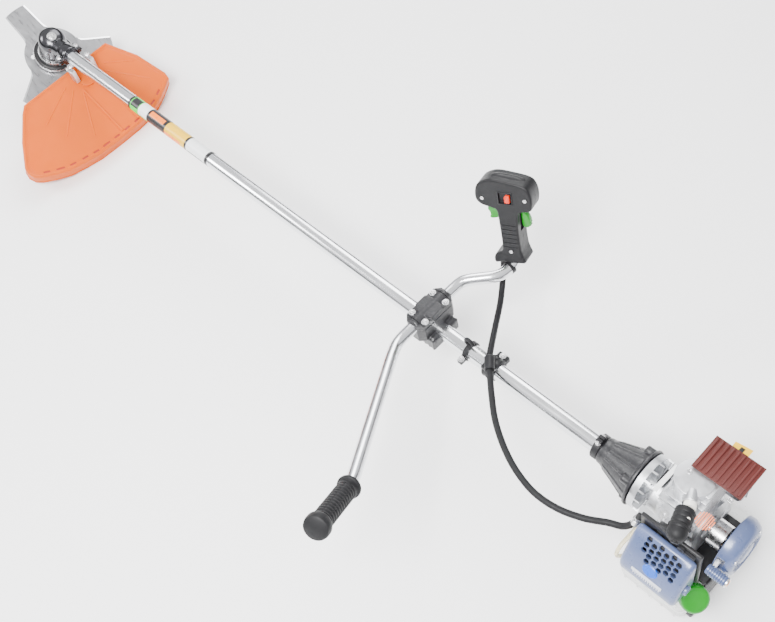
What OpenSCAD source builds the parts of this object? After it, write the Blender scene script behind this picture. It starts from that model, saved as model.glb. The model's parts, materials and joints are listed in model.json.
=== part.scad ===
// Straight-shaft petrol brush cutter with a two-grip handlebar, +X towards the blade, +Z up.
// The origin is on the ground below the middle of the machine.

/* [Shaft] */
// Length of the outer tube between the clutch housing and the gear head
shaft_len = 1400; // [1300:10:1500]
// Outer tube diameter
tube_d = 28; // [27:0.5:28]
// Wall of the outer tube
tube_wall = 1.5; // [1:0.25:2]
// Diameter of the inner drive shaft
drive_d = 8; // [7:0.5:9]
// Number of bushes carrying the drive shaft
bush_count = 5; // [3:1:7]

/* [Cutting head] */
// Tip diameter of the blade
blade_d = 255; // [230:5:255]
// Thickness of the blade
blade_t = 1.6; // [1.4:0.2:2]
// Angle between the blade plane and the shaft
head_tilt = 33; // [31:1:35]
// Distance from the crossing of the two axes down to the blade
head_drop = 62; // [60:1:66]

/* [Guard] */
// Depth of the skirt round the edge of the guard
skirt = 30; // [28:1:36]
// Slope of the guard against the shaft
guard_tilt = 28; // [26:1:30]
// Wall of the guard
guard_wall = 2.5; // [2:0.5:3]

/* [Handle] */
// Distance of the handle clamp from the clutch housing
handle_x = 345; // [340:5:360]
// Diameter of the handlebar
bar_d = 20; // [18:1:20]
// Distance of the cable clip from the clutch housing
clip_x = 214; // [212:1:216]
// Distance of the harness eye from the clutch housing
eye_x = 262; // [256:2:268]
// Bore of the harness eye
eye_bore = 12; // [10:1:13]
// Diameter of the throttle cable
cable_d = 10; // [8:1:10]

/* [Engine] */
// Bore of the cylinder
bore_d = 44; // [40:1:44]
// Piston stroke
stroke = 32; // [28:1:32]
// Number of cooling fins
fin_count = 6; // [5:1:6]
// Width of the fuel tank
tank_w = 176; // [160:2:180]

/* [Hidden] */
$fn = 48;
gap = 0.3;
fit = 0.05;
steel = [0.72, 0.73, 0.75];
dark = [0.26, 0.25, 0.28];
orange = [1, 0.36, 0.05];
black = [0.08, 0.08, 0.09];
green = [0.1, 0.7, 0.1];
alloy = [0.6, 0.6, 0.62];
slate = [0.47, 0.52, 0.66];

tube_r = tube_d / 2;
drive_r = drive_d / 2;
cross_x = shaft_len + 61;
blade_x = cross_x + head_drop * sin(head_tilt);
blade_z = -head_drop * cos(head_tilt);
blade_r = blade_d / 2;
guard_x = shaft_len - 15;
guard_z = -tube_r - 8;
guard_back = 181;
shaft_h = -guard_z + guard_back * sin(guard_tilt) + skirt * cos(guard_tilt);
engine_back = 244;
row_x = -(blade_x + blade_r * cos(head_tilt) - engine_back) / 2;
row_y = -91;
bar_r = bar_d / 2;
bar_z = 34;
bar_path = [[handle_x - 34.3, -166.8, bar_z + 45.6], [handle_x - 44, -158, bar_z + 10],
  [handle_x - 46, -144, bar_z + 2], [handle_x - 43, -116, bar_z + 3], [handle_x - 4, -76, bar_z + 3],
  [handle_x, -62, bar_z], [handle_x, 74, bar_z], [handle_x - 14, 98, bar_z + 8],
  [handle_x - 143, 297, bar_z + 60], [handle_x - 179, 370, bar_z + 122]];
hose_path = [[-108, 84, -56.1], [-108, 100, -32], [-106, 112, -8], [-106, 104, 10], [-107, 84, 12],
  [-109, 60, 20], [-116, 54, 44], [-124.2, 52, 50]];
grip_at = [handle_x - 44, -158, bar_z + 10];
grip_turn = [18, 9, 22];
trigger_axis = [23, 100];
lockout_axis = [-20, 95];
pulley_r = 38;
crank_x = -143;
pull_d = [0, cos(58), sin(58)];
pull_from = [-225.5, 34.3 * cos(-32), 34.3 * sin(-32)];
neck_top = [-213, 80, -42];
neck_d = [-62, 36, 70] / norm([-62, 36, 70]);
plug_a = [crank_x - 6, 12, 104];
plug_d = [-26, 53, 12] / norm([-26, 53, 12]);
rod_len = 62;
tdc_z = stroke / 2;
cable_r = cable_d / 2;
cable_path = [[323.5, -149.6, 42], [319.5, -145.5, 24], [306, -126, 9], [285, -96, 3], [262, -60, 7],
  [240, -27, 15], [224, -4, 20], [206, 16, 21], [171, 50, 20], [140, 76, 20], [102, 99, 20], [66, 114, 20],
  [28, 122, 20], [-10, 119, 19], [-46, 106, 17], [-74, 89, 15], [-94, 80, 18],
  [-106, 71, 36], [-111, 63, 62]];
cable_sides = 10;
cable_steps = 4;
guard_edge = [[3, -79], [-60, -112], [-138, -130], [-173, -72], [-181, -10], [-181, 92], [-168, 164],
  [-140, 218], [-113, 233], [-60, 196], [-14, 156], [0, 134]];
guard_inner = [[4, -75.5], [-61, -109], [-135.5, -126.3], [-170.5, -71], [-178.5, -9.8], [-178.5, 91.8],
  [-165.7, 162.8], [-137.9, 216], [-113, 229.2], [-61.5, 193], [-14, 152.5], [4, 131]];
cover_line = [[-60, -54], [60, -54], [64, 20], [60, 108], [40, 138], [-18, 140], [-58, 131], [-77, 114],
  [-86, 92], [-86, 4], [-74, -20]];
cover_core = [[-57, -58], [57, -58], [61, 20], [57.2, 107], [38.6, 135], [-17.7, 137], [-56.6, 128.3], [-74.4, 112.3],
  [-83, 91.3], [-83, 5], [-72, -17.5]];
filter_line = [[72.3, -12], [72.3, 62], [84, 60], [120, 8], [120, -12]];
filter_core = [[72.2, -9], [72.2, 59], [83, 57], [117, 7], [117, -9]];

function along(a, b) = (b - a) / norm(b - a);
function spline(p, i, t) = 0.5 * ((2 * p[i]) + (p[i + 1] - p[max(i - 1, 0)]) * t
  + (2 * p[max(i - 1, 0)] - 5 * p[i] + 4 * p[i + 1] - p[min(i + 2, len(p) - 1)]) * t * t
  + (3 * p[i] - p[max(i - 1, 0)] - 3 * p[i + 1] + p[min(i + 2, len(p) - 1)]) * t * t * t);
function dense(p, n) = concat([for (i = [0:len(p) - 2]) for (k = [0:n - 1]) spline(p, i, k / n)], [p[len(p) - 1]]);

function bend(a, p, b, u) = (1 - u) * (1 - u) * a + 2 * u * (1 - u) * p + u * u * b;
function near(p, q, t) = p + min(t, 0.45 * norm(q - p)) * along(p, q);
function rounded(p, t, n) = concat([p[0]], [for (i = [1:len(p) - 2]) for (k = [0:n])
  bend(near(p[i], p[i - 1], t), p[i], near(p[i], p[i + 1], t), k / n)], [p[len(p) - 1]]);

module placed() translate([row_x, row_y, shaft_h]) children();
module at_blade() translate([blade_x, 0, blade_z]) rotate([0, -head_tilt, 0]) children();
module at_guard() translate([guard_x, 0, guard_z]) rotate([0, -guard_tilt, 0]) children();
module at_grip() translate(grip_at) rotate(grip_turn) children();
module along_x(x) translate([x, 0, 0]) rotate([0, 90, 0]) children();
module block(lo, hi) translate(lo) cube(hi - lo);
module disc(x0, x1, r) along_x(x0) cylinder(h = x1 - x0, r = r);
module ring(x0, x1, r, ri) difference() {
  disc(x0, x1, r);
  disc(x0 - 1, x1 + 1, ri);
}
module rod(a, b, r) translate(a)
  rotate([0, acos((b - a)[2] / norm(b - a)), atan2((b - a)[1], (b - a)[0])])
    cylinder(h = norm(b - a), r = r);
module profile_x(x0, x1, line) translate([x0, 0, 0])
  rotate([90, 0, 90]) linear_extrude(height = x1 - x0) polygon(line);
module swept(p, r, n) {
  rings = [for (i = [0:len(p) - 1])
    let (d = along(p[max(i - 1, 0)], p[min(i + 1, len(p) - 1)]),
      s = cross(d, [0, 0, 1]) / norm(cross(d, [0, 0, 1])), u = cross(s, d))
      for (k = [0:n - 1]) p[i] + r * (cos(360 * k / n) * s + sin(360 * k / n) * u)];
  sides = [for (i = [0:len(p) - 2]) for (k = [0:n - 1]) for (h = [0, 1])
    h == 0 ? [i * n + k, i * n + (k + 1) % n, (i + 1) * n + (k + 1) % n]
      : [i * n + k, (i + 1) * n + (k + 1) % n, (i + 1) * n + k]];
  polyhedron(points = rings, faces = concat([[for (k = [n - 1:-1:0]) k]], sides,
    [[for (k = [0:n - 1]) (len(p) - 1) * n + k]]));
}

// Cutting head
module cutter_blade() color(alloy) at_blade() difference() {
  union() {
    translate([0, 0, -blade_t / 2]) cylinder(h = blade_t, r = 62);
    for (k = [0:2]) rotate([0, 0, 120 * k]) translate([0, 0, -blade_t / 2])
      linear_extrude(height = blade_t)
        polygon([[40, -36], [58, -32], [blade_r * cos(11.5), -blade_r * sin(11.5)],
          [blade_r * cos(11.5), blade_r * sin(11.5)], [58, 32], [40, 36]]);
  }
  translate([0, 0, -5]) cylinder(h = 10, r = 12.7 + fit);
  for (k = [0:2]) rotate([0, 0, 60 + 120 * k]) translate([44, 0, -5]) cylinder(h = 10, r = 5);
}

module blade_nut() color(steel) at_blade() translate([0, 0, -22]) difference() {
  cylinder(h = 9, r = 10.5, $fn = 6);
  translate([0, 0, -1]) cylinder(h = 11, r = 5);
}

module blade_flanges() color(steel) at_blade() {
  difference() {
    union() {
      translate([0, 0, blade_t / 2]) cylinder(h = 5, r = 26);
      translate([0, 0, -blade_t / 2]) cylinder(h = blade_t, r = 12.7);
    }
    translate([0, 0, -2]) cylinder(h = 12, r = 6);
  }
  difference() {
    translate([0, 0, -13]) cylinder(h = 13 - blade_t / 2, r1 = 18, r2 = 26);
    translate([0, 0, -14]) cylinder(h = 16, r = 5);
    translate([0, 0, -10]) cylinder(h = 8, r = 15);
  }
}

module output_shaft() color(steel) at_blade() {
  translate([0, 0, -blade_t / 2]) cylinder(h = head_drop - 4.2 + blade_t / 2, r = 6);
  translate([0, 0, -26]) cylinder(h = 26 - blade_t / 2, r = 5);
}

module bevel(r, teeth, h, hub, hole) difference() {
  union() {
    cylinder(h = h, r1 = r, r2 = r * 0.62);
    translate([0, 0, -hub]) cylinder(h = hub, r = r * 0.8);
  }
  for (k = [0:teeth - 1]) rotate([0, 0, 360 * k / teeth]) translate([r * 0.98, 0, -1])
    rotate([0, -18, 0]) translate([-1.6, -r * 0.09, 0]) cube([6, r * 0.18, h + 6]);
  translate([0, 0, -hub - 1]) cylinder(h = h + hub + 2, r = hole);
}

module driven_bevel_gear() color(steel) at_blade()
  translate([0, 0, head_drop - 5.8]) bevel(15.6, 19, 1.6, 5, 6.01);

module drive_pinion() color(steel) along_x(cross_x - 11.6) bevel(11.3, 14, 4.2, 2, drive_r + 0.01);

module gear_case() color(dark) difference() {
  union() {
    at_blade() translate([0, 0, 16]) cylinder(h = 68, r = 29);
    at_blade() translate([0, 0, 84]) cylinder(h = 10, r1 = 29, r2 = 16);
    disc(shaft_len - 10, cross_x, 21);
    block([shaft_len - 10, -28, -7], [shaft_len + 14, 28, 7]);
  }
  at_blade() translate([0, 0, 26]) cylinder(h = 54, r = 25);
  at_blade() translate([0, 0, 15]) cylinder(h = 12, r = 6.5);
  disc(shaft_len - 20, shaft_len + 20, tube_r);
  disc(shaft_len + 19, cross_x + 2, 14.5);
}

module head_bolts() color(steel) {
  for (y = [-24, 24]) translate([shaft_len, y, 7]) cylinder(h = 5, r = 5, $fn = 6);
  at_blade() translate([0, 0, 94]) cylinder(h = 5, r = 7, $fn = 6);
  for (y = [-22, 22]) translate([shaft_len - 41, y, 5]) cylinder(h = 5, r = 5, $fn = 6);
}

module debris_cup() color(black) at_blade() difference() {
  translate([0, 0, 7]) cylinder(h = 9, r1 = 43, r2 = 38);
  translate([0, 0, 6]) cylinder(h = 6, r = 34);
  translate([0, 0, 6]) cylinder(h = 12, r = 7);
}

module race(h, ro, ri) difference() {
  cylinder(h = h, r = ro);
  translate([0, 0, -1]) cylinder(h = h + 2, r = ri);
}

module ball_bearings() color(steel) {
  at_blade() translate([0, 0, 27]) race(8, 25, 6.05);
  at_blade() translate([0, 0, 39]) race(8, 25, 6.05);
  along_x(shaft_len + 22) race(7, 14.5, drive_r + fit);
  along_x(-34) race(8, 17, 7.55);
  along_x(-121) race(8, 18, 7.55);
  along_x(-173) race(8, 18, 6.05);
}

// Guard
module guard() color([1, 0.5, 0]) at_guard() difference() {
  union() {
    translate([0, 0, -skirt]) linear_extrude(height = skirt) polygon(guard_edge);
    for (r = [[115, 86], [130, 96], [153, 96], [220, 90], [238, 48]])
      rotate([0, 0, r[0]]) translate([60, -2, -1]) cube([r[1], 4, 3]);
    for (y = [-18, 26]) translate([-168, y, -1]) cube([120, 4, 4]);
  }
  translate([0, 0, -skirt - 1]) linear_extrude(height = skirt + 1 - guard_wall) polygon(guard_inner);
  for (k = [0:6]) translate([-176, -6 + 14 * k, -guard_wall - 1]) cube([4, 8, 6]);
}

module guard_bracket() color(steel) difference() {
  union() {
    disc(shaft_len - 54, shaft_len - 28, tube_r + 4);
    block([shaft_len - 52, -29, -3], [shaft_len - 30, 29, 5]);
    block([shaft_len - 52, -29, -34], [shaft_len - 30, -20, 0]);
    block([shaft_len - 52, 20, -34], [shaft_len - 30, 29, 0]);
  }
  disc(shaft_len - 60, shaft_len - 20, tube_r);
  at_guard() translate([-80, -60, -30]) cube([100, 120, 30]);
}

// Shaft
module shaft_tube() color(steel) ring(-24, shaft_len + 20, tube_r, tube_r - tube_wall);

module drive_shaft() color(alloy) disc(-44, cross_x - 8, drive_r);

module shaft_bushes() color(black)
  for (k = [0:bush_count - 1])
    ring(60 + k * (shaft_len - 120) / (bush_count - 1) - 10, 60 + k * (shaft_len - 120) / (bush_count - 1) + 10,
      tube_r - tube_wall, drive_r + fit);

// Handle
module clamp_base() color(dark) difference() {
  union() {
    block([handle_x - 30, -29, -tube_r - 8], [handle_x + 24, 29, 8]);
    block([handle_x - 19, -40, 8], [handle_x + 19, 40, bar_z - 0.5]);
  }
  disc(handle_x - 60, handle_x + 60, tube_r);
  translate([handle_x, 60, bar_z]) rotate([90, 0, 0]) cylinder(h = 120, r = bar_r + fit);
}

module clamp_cap() color(dark) difference() {
  union() {
    block([handle_x - 19, -40, bar_z + 0.5], [handle_x + 19, 40, bar_z + 11]);
    block([handle_x - 11, -40, bar_z + 11], [handle_x + 11, 40, bar_z + 16]);
  }
  translate([handle_x, 60, bar_z]) rotate([90, 0, 0]) cylinder(h = 120, r = bar_r + fit);
}

module clamp_bolts() color(steel) {
  for (x = [-15, 15]) for (y = [-24, 24]) translate([handle_x + x, y, bar_z + 11]) cylinder(h = 5, r = 4, $fn = 6);
  translate([clip_x, -22, 7]) cylinder(h = 5, r = 4, $fn = 6);
  translate([eye_x, 22, 4]) cylinder(h = 5, r = 4, $fn = 6);
}

module handlebar() color(steel) swept(rounded(bar_path, 16, 4), bar_r, 24);

module left_grip() color(black) {
  a = bar_path[8];
  d = along(bar_path[8], bar_path[9]);
  difference() {
    union() {
      rod(a + 6 * d, a + 12 * d, 18);
      rod(a + 10 * d, a + 110 * d, 15);
      rod(a + 108 * d, a + 122 * d, 19);
    }
    rod(a + 5 * d, bar_path[9], bar_r);
    rod(a + 5 * d, a + 17 * d, bar_r + 1.7);
  }
}

module grip_shape(y0, y1) translate([0, y1, 0]) rotate([90, 0, 0]) linear_extrude(height = y1 - y0)
  polygon([[-21, 0], [-18, 16], [-17, 92], [-38, 98], [-42, 124], [-32, 142], [20, 150], [46, 138], [50, 112],
    [40, 101], [17, 97], [15, 22], [30, 14], [31, -3], [16, 0]]);
module grip_core(y0, y1) translate([0, y1, 0]) rotate([90, 0, 0]) linear_extrude(height = y1 - y0)
  polygon([[-14, 18], [-13.5, 96], [-35, 101], [-39, 123], [-30, 139], [20, 147], [43, 136], [47, 113],
    [38, 104], [13.5, 100], [12, 18]]);
module grip_cuts() {
  translate([0, 0, -2]) cylinder(h = 24, r = bar_r);
  translate([24, 0, -10]) cylinder(h = 19, r = cable_r + 0.8);
  block([10, -6, 70], [40, 6, 106]);
  block([-24.6, -6, 56], [-10, 6, 99]);
}

module pivot(p, y0, y1, r) translate([p[0], y1, p[1]]) rotate([90, 0, 0]) cylinder(h = y1 - y0, r = r);

module throttle_shell_left() color(black) at_grip() {
  difference() {
    grip_shape(0.1, 18);
    grip_core(-1, 15.5);
    grip_cuts();
    block([-9, 14, 112], [9, 19, 126]);
  }
  pivot(trigger_axis, -5.8, 8, 1.9);
  pivot(lockout_axis, -5.8, 8, 1.9);
}

module throttle_shell_right() color(black) at_grip() difference() {
  grip_shape(-18, -0.1);
  grip_core(-15.5, 1);
  grip_cuts();
}

module grip_screws() color(steel) at_grip()
  for (p = [[0, 52], [-30, 126], [36, 120]])
    translate([p[0], 20, p[1]]) rotate([90, 0, 0]) cylinder(h = 2, r = 3);

module throttle_trigger() color(green) at_grip() difference() {
  union() {
    translate([0, 5.2, 0]) rotate([90, 0, 0]) linear_extrude(height = 10.4)
      polygon([[19, 104], [27, 104], [35, 95], [36, 86], [30, 76], [20, 72], [18.5, 80]]);
    pivot(trigger_axis, -5.2, 5.2, 4);
  }
  pivot(trigger_axis, -7, 7, 1.95);
}

module trigger_lockout() color(green) at_grip() difference() {
  union() {
    translate([0, 5.2, 0]) rotate([90, 0, 0]) linear_extrude(height = 10.4)
      polygon([[-18, 94], [-20, 66], [-27, 62], [-31, 76], [-26, 88], [-22, 95]]);
    pivot(lockout_axis, -5.2, 5.2, 3.6);
  }
  pivot(lockout_axis, -7, 7, 1.95);
}

module stop_switch() color([0.9, 0.2, 0.05]) at_grip() block([-8.5, 15.7, 112.5], [-1, 22, 125.5]);

module throttle_cable() color(black) swept(dense(cable_path, cable_steps), cable_r, cable_sides);

module cable_clip() color(black) difference() {
  union() {
    disc(clip_x - 11, clip_x + 11, tube_r + 5);
    block([clip_x - 11, -27, -6], [clip_x + 11, -12, 7]);
    translate([clip_x, 6, 20]) rotate([0, 0, 135]) translate([-12, -9, -7]) cube([24, 18, 15]);
  }
  disc(clip_x - 30, clip_x + 30, tube_r);
  for (i = [5:7]) rod(cable_path[i], cable_path[i + 1], cable_r + 0.8);
}

module harness_hanger() color(dark) difference() {
  union() {
    disc(eye_x - 8, eye_x + 8, tube_r + 3);
    block([eye_x - 8, 12, -5], [eye_x + 8, 27, 4]);
    translate([eye_x, 3, tube_r + 11]) rotate([90, 0, 0]) cylinder(h = 6, r = eye_bore / 2 + 4);
  }
  disc(eye_x - 30, eye_x + 30, tube_r);
  translate([eye_x, 9, tube_r + 11]) rotate([90, 0, 0]) cylinder(h = 18, r = eye_bore / 2);
}

// Engine
module clutch_housing() color(dark) difference() {
  union() {
    along_x(-68) cylinder(h = 60, r1 = 42, r2 = 21);
    disc(-8, 2, 21);
    disc(-68, -62, 47);
  }
  along_x(-68.5) cylinder(h = 24.5, r1 = 38.5, r2 = 30);
  disc(-45, -26, 17);
  disc(-27, 6, tube_r);
}

module shaft_collar() color(black) difference() {
  union() {
    ring(2.2, 14, 20, tube_r);
    block([3, -6, 19], [13, 6, 27]);
  }
  disc(-2, 20, tube_r);
}

module clutch_drum() color(alloy) difference() {
  union() {
    disc(-62, -45, 28.5);
    disc(-45.5, -39, 12);
    disc(-40, -26.5, 7.5);
  }
  disc(-63, -48, 26);
  disc(-64, -20, drive_r);
}

module clutch_shoes() color(alloy) difference() {
  disc(-61, -49, 24.5);
  disc(-62, -47, 7.5 + fit);
  block([-63, -4, -40], [-44, 4, 40]);
}

module flywheel_fan() color(alloy) {
  difference() {
    union() {
      disc(-80, -70, 43);
      for (k = [0:15]) along_x(-89) rotate([0, 0, 22.5 * k]) translate([22, -1.5, 0]) cube([21, 3, 9.5]);
      disc(-94, -79, 18);
    }
    disc(-96, -60, 7.5);
  }
}

module crankcase() color(alloy) difference() {
  union() {
    disc(-176, -98, 42);
    block([-172, -36, 0], [-114, 36, 45]);
    block([-176, -56, -50], [-98, 56, -34]);
  }
  disc(-162, -124, 31);
  disc(-177, -161, 18);
  disc(-125, -97, 18);
  translate([crank_x, 0, 0]) cylinder(h = 50, r = bore_d / 2 + 1);
}

module crankshaft() color(steel) {
  disc(-126, -48.6, 7.5);
  disc(-134, -125, 29);
  disc(-161, -152, 29);
  disc(-204, -160, 6);
  difference() {
    disc(-204, -184, 20);
    disc(-205, -190, 16);
  }
}

module connecting_rod() color(steel) difference() {
  union() {
    translate([crank_x + 4, 0, tdc_z]) rotate([0, -90, 0]) cylinder(h = 8, r = 9);
    translate([crank_x + 4, 0, tdc_z + rod_len]) rotate([0, -90, 0]) cylinder(h = 8, r = 8);
    block([crank_x - 3, -5, tdc_z + 5], [crank_x + 3, 5, tdc_z + rod_len - 5]);
    translate([crank_x + 8.5, 0, tdc_z]) rotate([0, -90, 0]) cylinder(h = 17, r = 5);
  }
  translate([crank_x + 5, 0, tdc_z + rod_len]) rotate([0, -90, 0]) cylinder(h = 10, r = 5);
}

module piston() color(alloy) {
  difference() {
    translate([crank_x, 0, tdc_z + rod_len - 14]) cylinder(h = 32, r = bore_d / 2 - fit);
    translate([crank_x, 0, tdc_z + rod_len - 15]) cylinder(h = 28, r = bore_d / 2 - 4);
  }
  translate([crank_x + 18.5, 0, tdc_z + rod_len]) rotate([0, -90, 0]) cylinder(h = 37, r = 4.98);
}

module cylinder_barrel() color(alloy) difference() {
  union() {
    translate([crank_x, 0, 45]) cylinder(h = 70, r = 27);
    for (k = [0:fin_count - 1]) block([crank_x - 30, -34, 58 + 10 * k], [crank_x + 30, 34, 60.5 + 10 * k]);
    block([crank_x - 28, -32, 45.2], [crank_x + 28, 32, 50]);
    block([crank_x - 12, 20, 50], [crank_x + 12, 36, 68]);
    block([crank_x - 12, -40, 62], [crank_x + 12, -20, 84]);
    rod(plug_a, plug_a + 22 * plug_d, 11);
  }
  translate([crank_x, 0, 40]) cylinder(h = tdc_z + rod_len - 20, r = bore_d / 2);
  rod(plug_a, plug_a + 60 * plug_d, 5);
  rod(plug_a + 22 * plug_d, plug_a + 60 * plug_d, 14.4);
}

module spark_plug() color([0.9, 0.88, 0.84]) {
  rod(plug_a + 4 * plug_d, plug_a + 23 * plug_d, 4.9);
  rod(plug_a + 22 * plug_d, plug_a + 29 * plug_d, 8.5);
  rod(plug_a + 28 * plug_d, plug_a + 46 * plug_d, 4);
}

module plug_boot() color(black) difference() {
  union() {
    rod(plug_a + 30 * plug_d, plug_a + 74 * plug_d, 13.5);
    rod(plug_a + 60 * plug_d, plug_a + 60 * plug_d + [24, 2, -12], 4);
  }
  rod(plug_a + 28 * plug_d, plug_a + 46.2 * plug_d, 4.1);
}

module ignition_coil() color(black) {
  block([-106, -12, 45], [-96, 12, 53]);
  block([-104, -3, 42], [-98.2, 3, 45.1]);
}

module muffler() color(steel) difference() {
  union() {
    block([-192, -78, 18], [-116, -42, 94]);
    block([crank_x - 10, -42.5, 62], [crank_x + 10, -40.1, 82]);
  }
  block([-189, -75, 21], [-119, -45, 91]);
  block([crank_x - 7, -46, 65], [crank_x + 7, -39, 79]);
}

module engine_cover() color(orange) difference() {
  union() {
    profile_x(-210, -108, cover_line);
    along_x(-108) cylinder(h = 40, r1 = 62, r2 = 50);
  }
  profile_x(-207.5, -111, cover_core);
  along_x(-112) cylinder(h = 42, r1 = 60, r2 = 47);
  along_x(-71) cylinder(h = 4, r = 47.3);
  block([-109, -100, -100], [-60, 100, -54]);
  block([-211, -72, -60], [-60, 72, -33.6]);
  block([-168, 50, -34], [-84, 92, 78]);
  block([-212, 52, -60], [-185, 76, -16]);
  block([-196, 34, 92], [-142, 76, 136]);
  for (i = [0:4]) for (j = [0:3])
    translate([-188 + 14 * i, -56 + 12 * j, 90]) cylinder(h = 55, r = 5, $fn = 6);
  block([-212, -57, -40], [-207, 57, 57]);
}

module engine_screws() color(steel) {
  for (a = [45, 135, 225, 315])
    along_x(-61.9) translate([43.6 * cos(a), 43.6 * sin(a), 0]) cylinder(h = 4, r = 3);
  for (a = [40, 140, 220, 320])
    along_x(-237) translate([39 * cos(a), 39 * sin(a), 0]) cylinder(h = 2, r = 3.5);
  for (x = [-198, -120]) translate([x, 8, 139.3]) cylinder(h = 3, r = 4);
}

module carburettor() color(alloy) difference() {
  union() {
    block([-162, 36.2, 38], [-126, 66, 72]);
    block([-160, 40, 30], [-134, 62, 39]);
    block([-127, 56, 63], [-106, 66, 67]);
  }
  translate([crank_x, 30, 58]) rotate([-90, 0, 0]) cylinder(h = 50, r = 7);
  translate([-147, 51, 29]) cylinder(h = 6, r = 8.4);
}

module throttle_lever() color(steel) difference() {
  union() {
    translate([-136, 52, 72.4]) cylinder(h = 3, r = 6);
    block([-138, 52, 72.4], [-134, 64, 75.4]);
  }
  translate([-136, 52, 70]) cylinder(h = 8, r = 2);
}

module filter_base() color(black) difference() {
  block([-208, 66.2, -14], [-114, 72, 80]);
  translate([crank_x, 60, 58]) rotate([-90, 0, 0]) cylinder(h = 20, r = 10);
}

module filter_element() color([0.25, 0.25, 0.27]) block([-196, 74, -4], [-126, 82, 50]);

module filter_cover() color(slate) difference() {
  profile_x(-206, -116, filter_line);
  profile_x(-203, -119, filter_core);
  for (i = [0:4]) for (j = [0:2])
    translate([-188 + 13 * i, 90 + 10 * j, 62 - 14.4 * j]) rotate([-55, 0, 0])
      translate([0, 0, -12]) cylinder(h = 24, r = 4, $fn = 6);
}

module choke_lever() color(black) difference() {
  union() {
    translate([-180, 72.4, 71]) rotate([-90, 0, 0]) cylinder(h = 4, r = 6);
    block([-200, 72.4, 68], [-180, 76.4, 73]);
  }
  translate([-180, 70, 71]) rotate([-90, 0, 0]) cylinder(h = 10, r = 2);
}

module primer_bulb() color([0.85, 0.8, 0.75]) translate([-147, 51, 22]) {
  cylinder(h = 9, r = 8);
  sphere(r = 8);
}

module tank_solid(e) block([-210 + e, -tank_w / 2 + 10 + e, -118 + e], [-102 - e, tank_w / 2 + 10 - e, -58 - e]);
module neck(h0, h1, r) translate(neck_top + h0 * neck_d)
  rotate([0, acos(neck_d[2]), atan2(neck_d[1], neck_d[0])]) rotate([0, 0, 55]) cylinder(h = h1 - h0, r = r);
module fuel_tank() color([0.92, 0.93, 0.9]) difference() {
  union() {
    tank_solid(0);
    neck(-27, 0, 14);
  }
  tank_solid(2.5);
  neck(-32, 1, 11);
}

module fuel_cap() color(green) difference() {
  rod(neck_top - 5.4 * neck_d, neck_top + 10 * neck_d, 21);
  rod(neck_top - 7 * neck_d, neck_top + 0.3 * neck_d, 14.3);
}

module fuel_line() color([0.95, 0.9, 0.6]) swept(rounded(hose_path, 12, 4), 3, 8);

module tank_stand() color(black) {
  for (y = [-72, 72]) block([-216, y - 7, -shaft_h], [-92, y + 7, -118.2]);
  block([-101.5, -70, -122], [-97, 70, -50.1]);
  block([-215, -52, -122], [-210.5, 52, -50.1]);
  block([-124, -52, -57.8], [-97, 52, -50.1]);
  block([-215, -52, -57.8], [-168, 52, -50.1]);
}

module recoil_housing() color(slate) difference() {
  union() {
    disc(-235, -210.2, 46);
    rod(pull_from + 27 * pull_d, pull_from + 45 * pull_d, 6);
  }
  disc(-232, -209, 42.5);
  rod(pull_from, pull_from + 60 * pull_d, 2.6);
  for (a = [60:30:300]) along_x(-240) rotate([0, 0, a]) translate([17, -2.5, 0]) cube([16, 5, 8]);
}

module starter_pulley() color(black) difference() {
  union() {
    disc(-231, -228, pulley_r);
    disc(-228, -223, 32.5);
    disc(-223, -220, pulley_r);
    disc(-220, -206, 12);
  }
  disc(-240, -200, 5);
}

module starter_rope() color([0.9, 0.9, 0.85]) rod(pull_from, pull_from + 49 * pull_d, 1.5);

module starter_handle() color([0.2, 0.25, 0.4]) difference() {
  translate(pull_from + 56 * pull_d + [13.5, 0, 0]) rotate([0, -90, 0]) cylinder(h = 32, r = 8);
  rod(pull_from, pull_from + 49.5 * pull_d, 1.6);
}

placed() cutter_blade();
placed() blade_nut();
placed() blade_flanges();
placed() output_shaft();
placed() driven_bevel_gear();
placed() drive_pinion();
placed() gear_case();
placed() head_bolts();
placed() debris_cup();
placed() ball_bearings();
placed() guard();
placed() guard_bracket();
placed() shaft_tube();
placed() drive_shaft();
placed() shaft_bushes();
placed() clamp_base();
placed() clamp_cap();
placed() clamp_bolts();
placed() handlebar();
placed() left_grip();
placed() throttle_shell_left();
placed() throttle_shell_right();
placed() grip_screws();
placed() throttle_trigger();
placed() trigger_lockout();
placed() stop_switch();
placed() throttle_cable();
placed() cable_clip();
placed() harness_hanger();
placed() clutch_housing();
placed() shaft_collar();
placed() clutch_drum();
placed() clutch_shoes();
placed() flywheel_fan();
placed() crankcase();
placed() crankshaft();
placed() connecting_rod();
placed() piston();
placed() cylinder_barrel();
placed() spark_plug();
placed() plug_boot();
placed() ignition_coil();
placed() muffler();
placed() engine_cover();
placed() engine_screws();
placed() carburettor();
placed() throttle_lever();
placed() filter_base();
placed() filter_element();
placed() filter_cover();
placed() choke_lever();
placed() primer_bulb();
placed() fuel_tank();
placed() fuel_cap();
placed() fuel_line();
placed() tank_stand();
placed() recoil_housing();
placed() starter_pulley();
placed() starter_rope();
placed() starter_handle();
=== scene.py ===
import bpy, bmesh, json, math
from mathutils import Vector, Matrix

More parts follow.
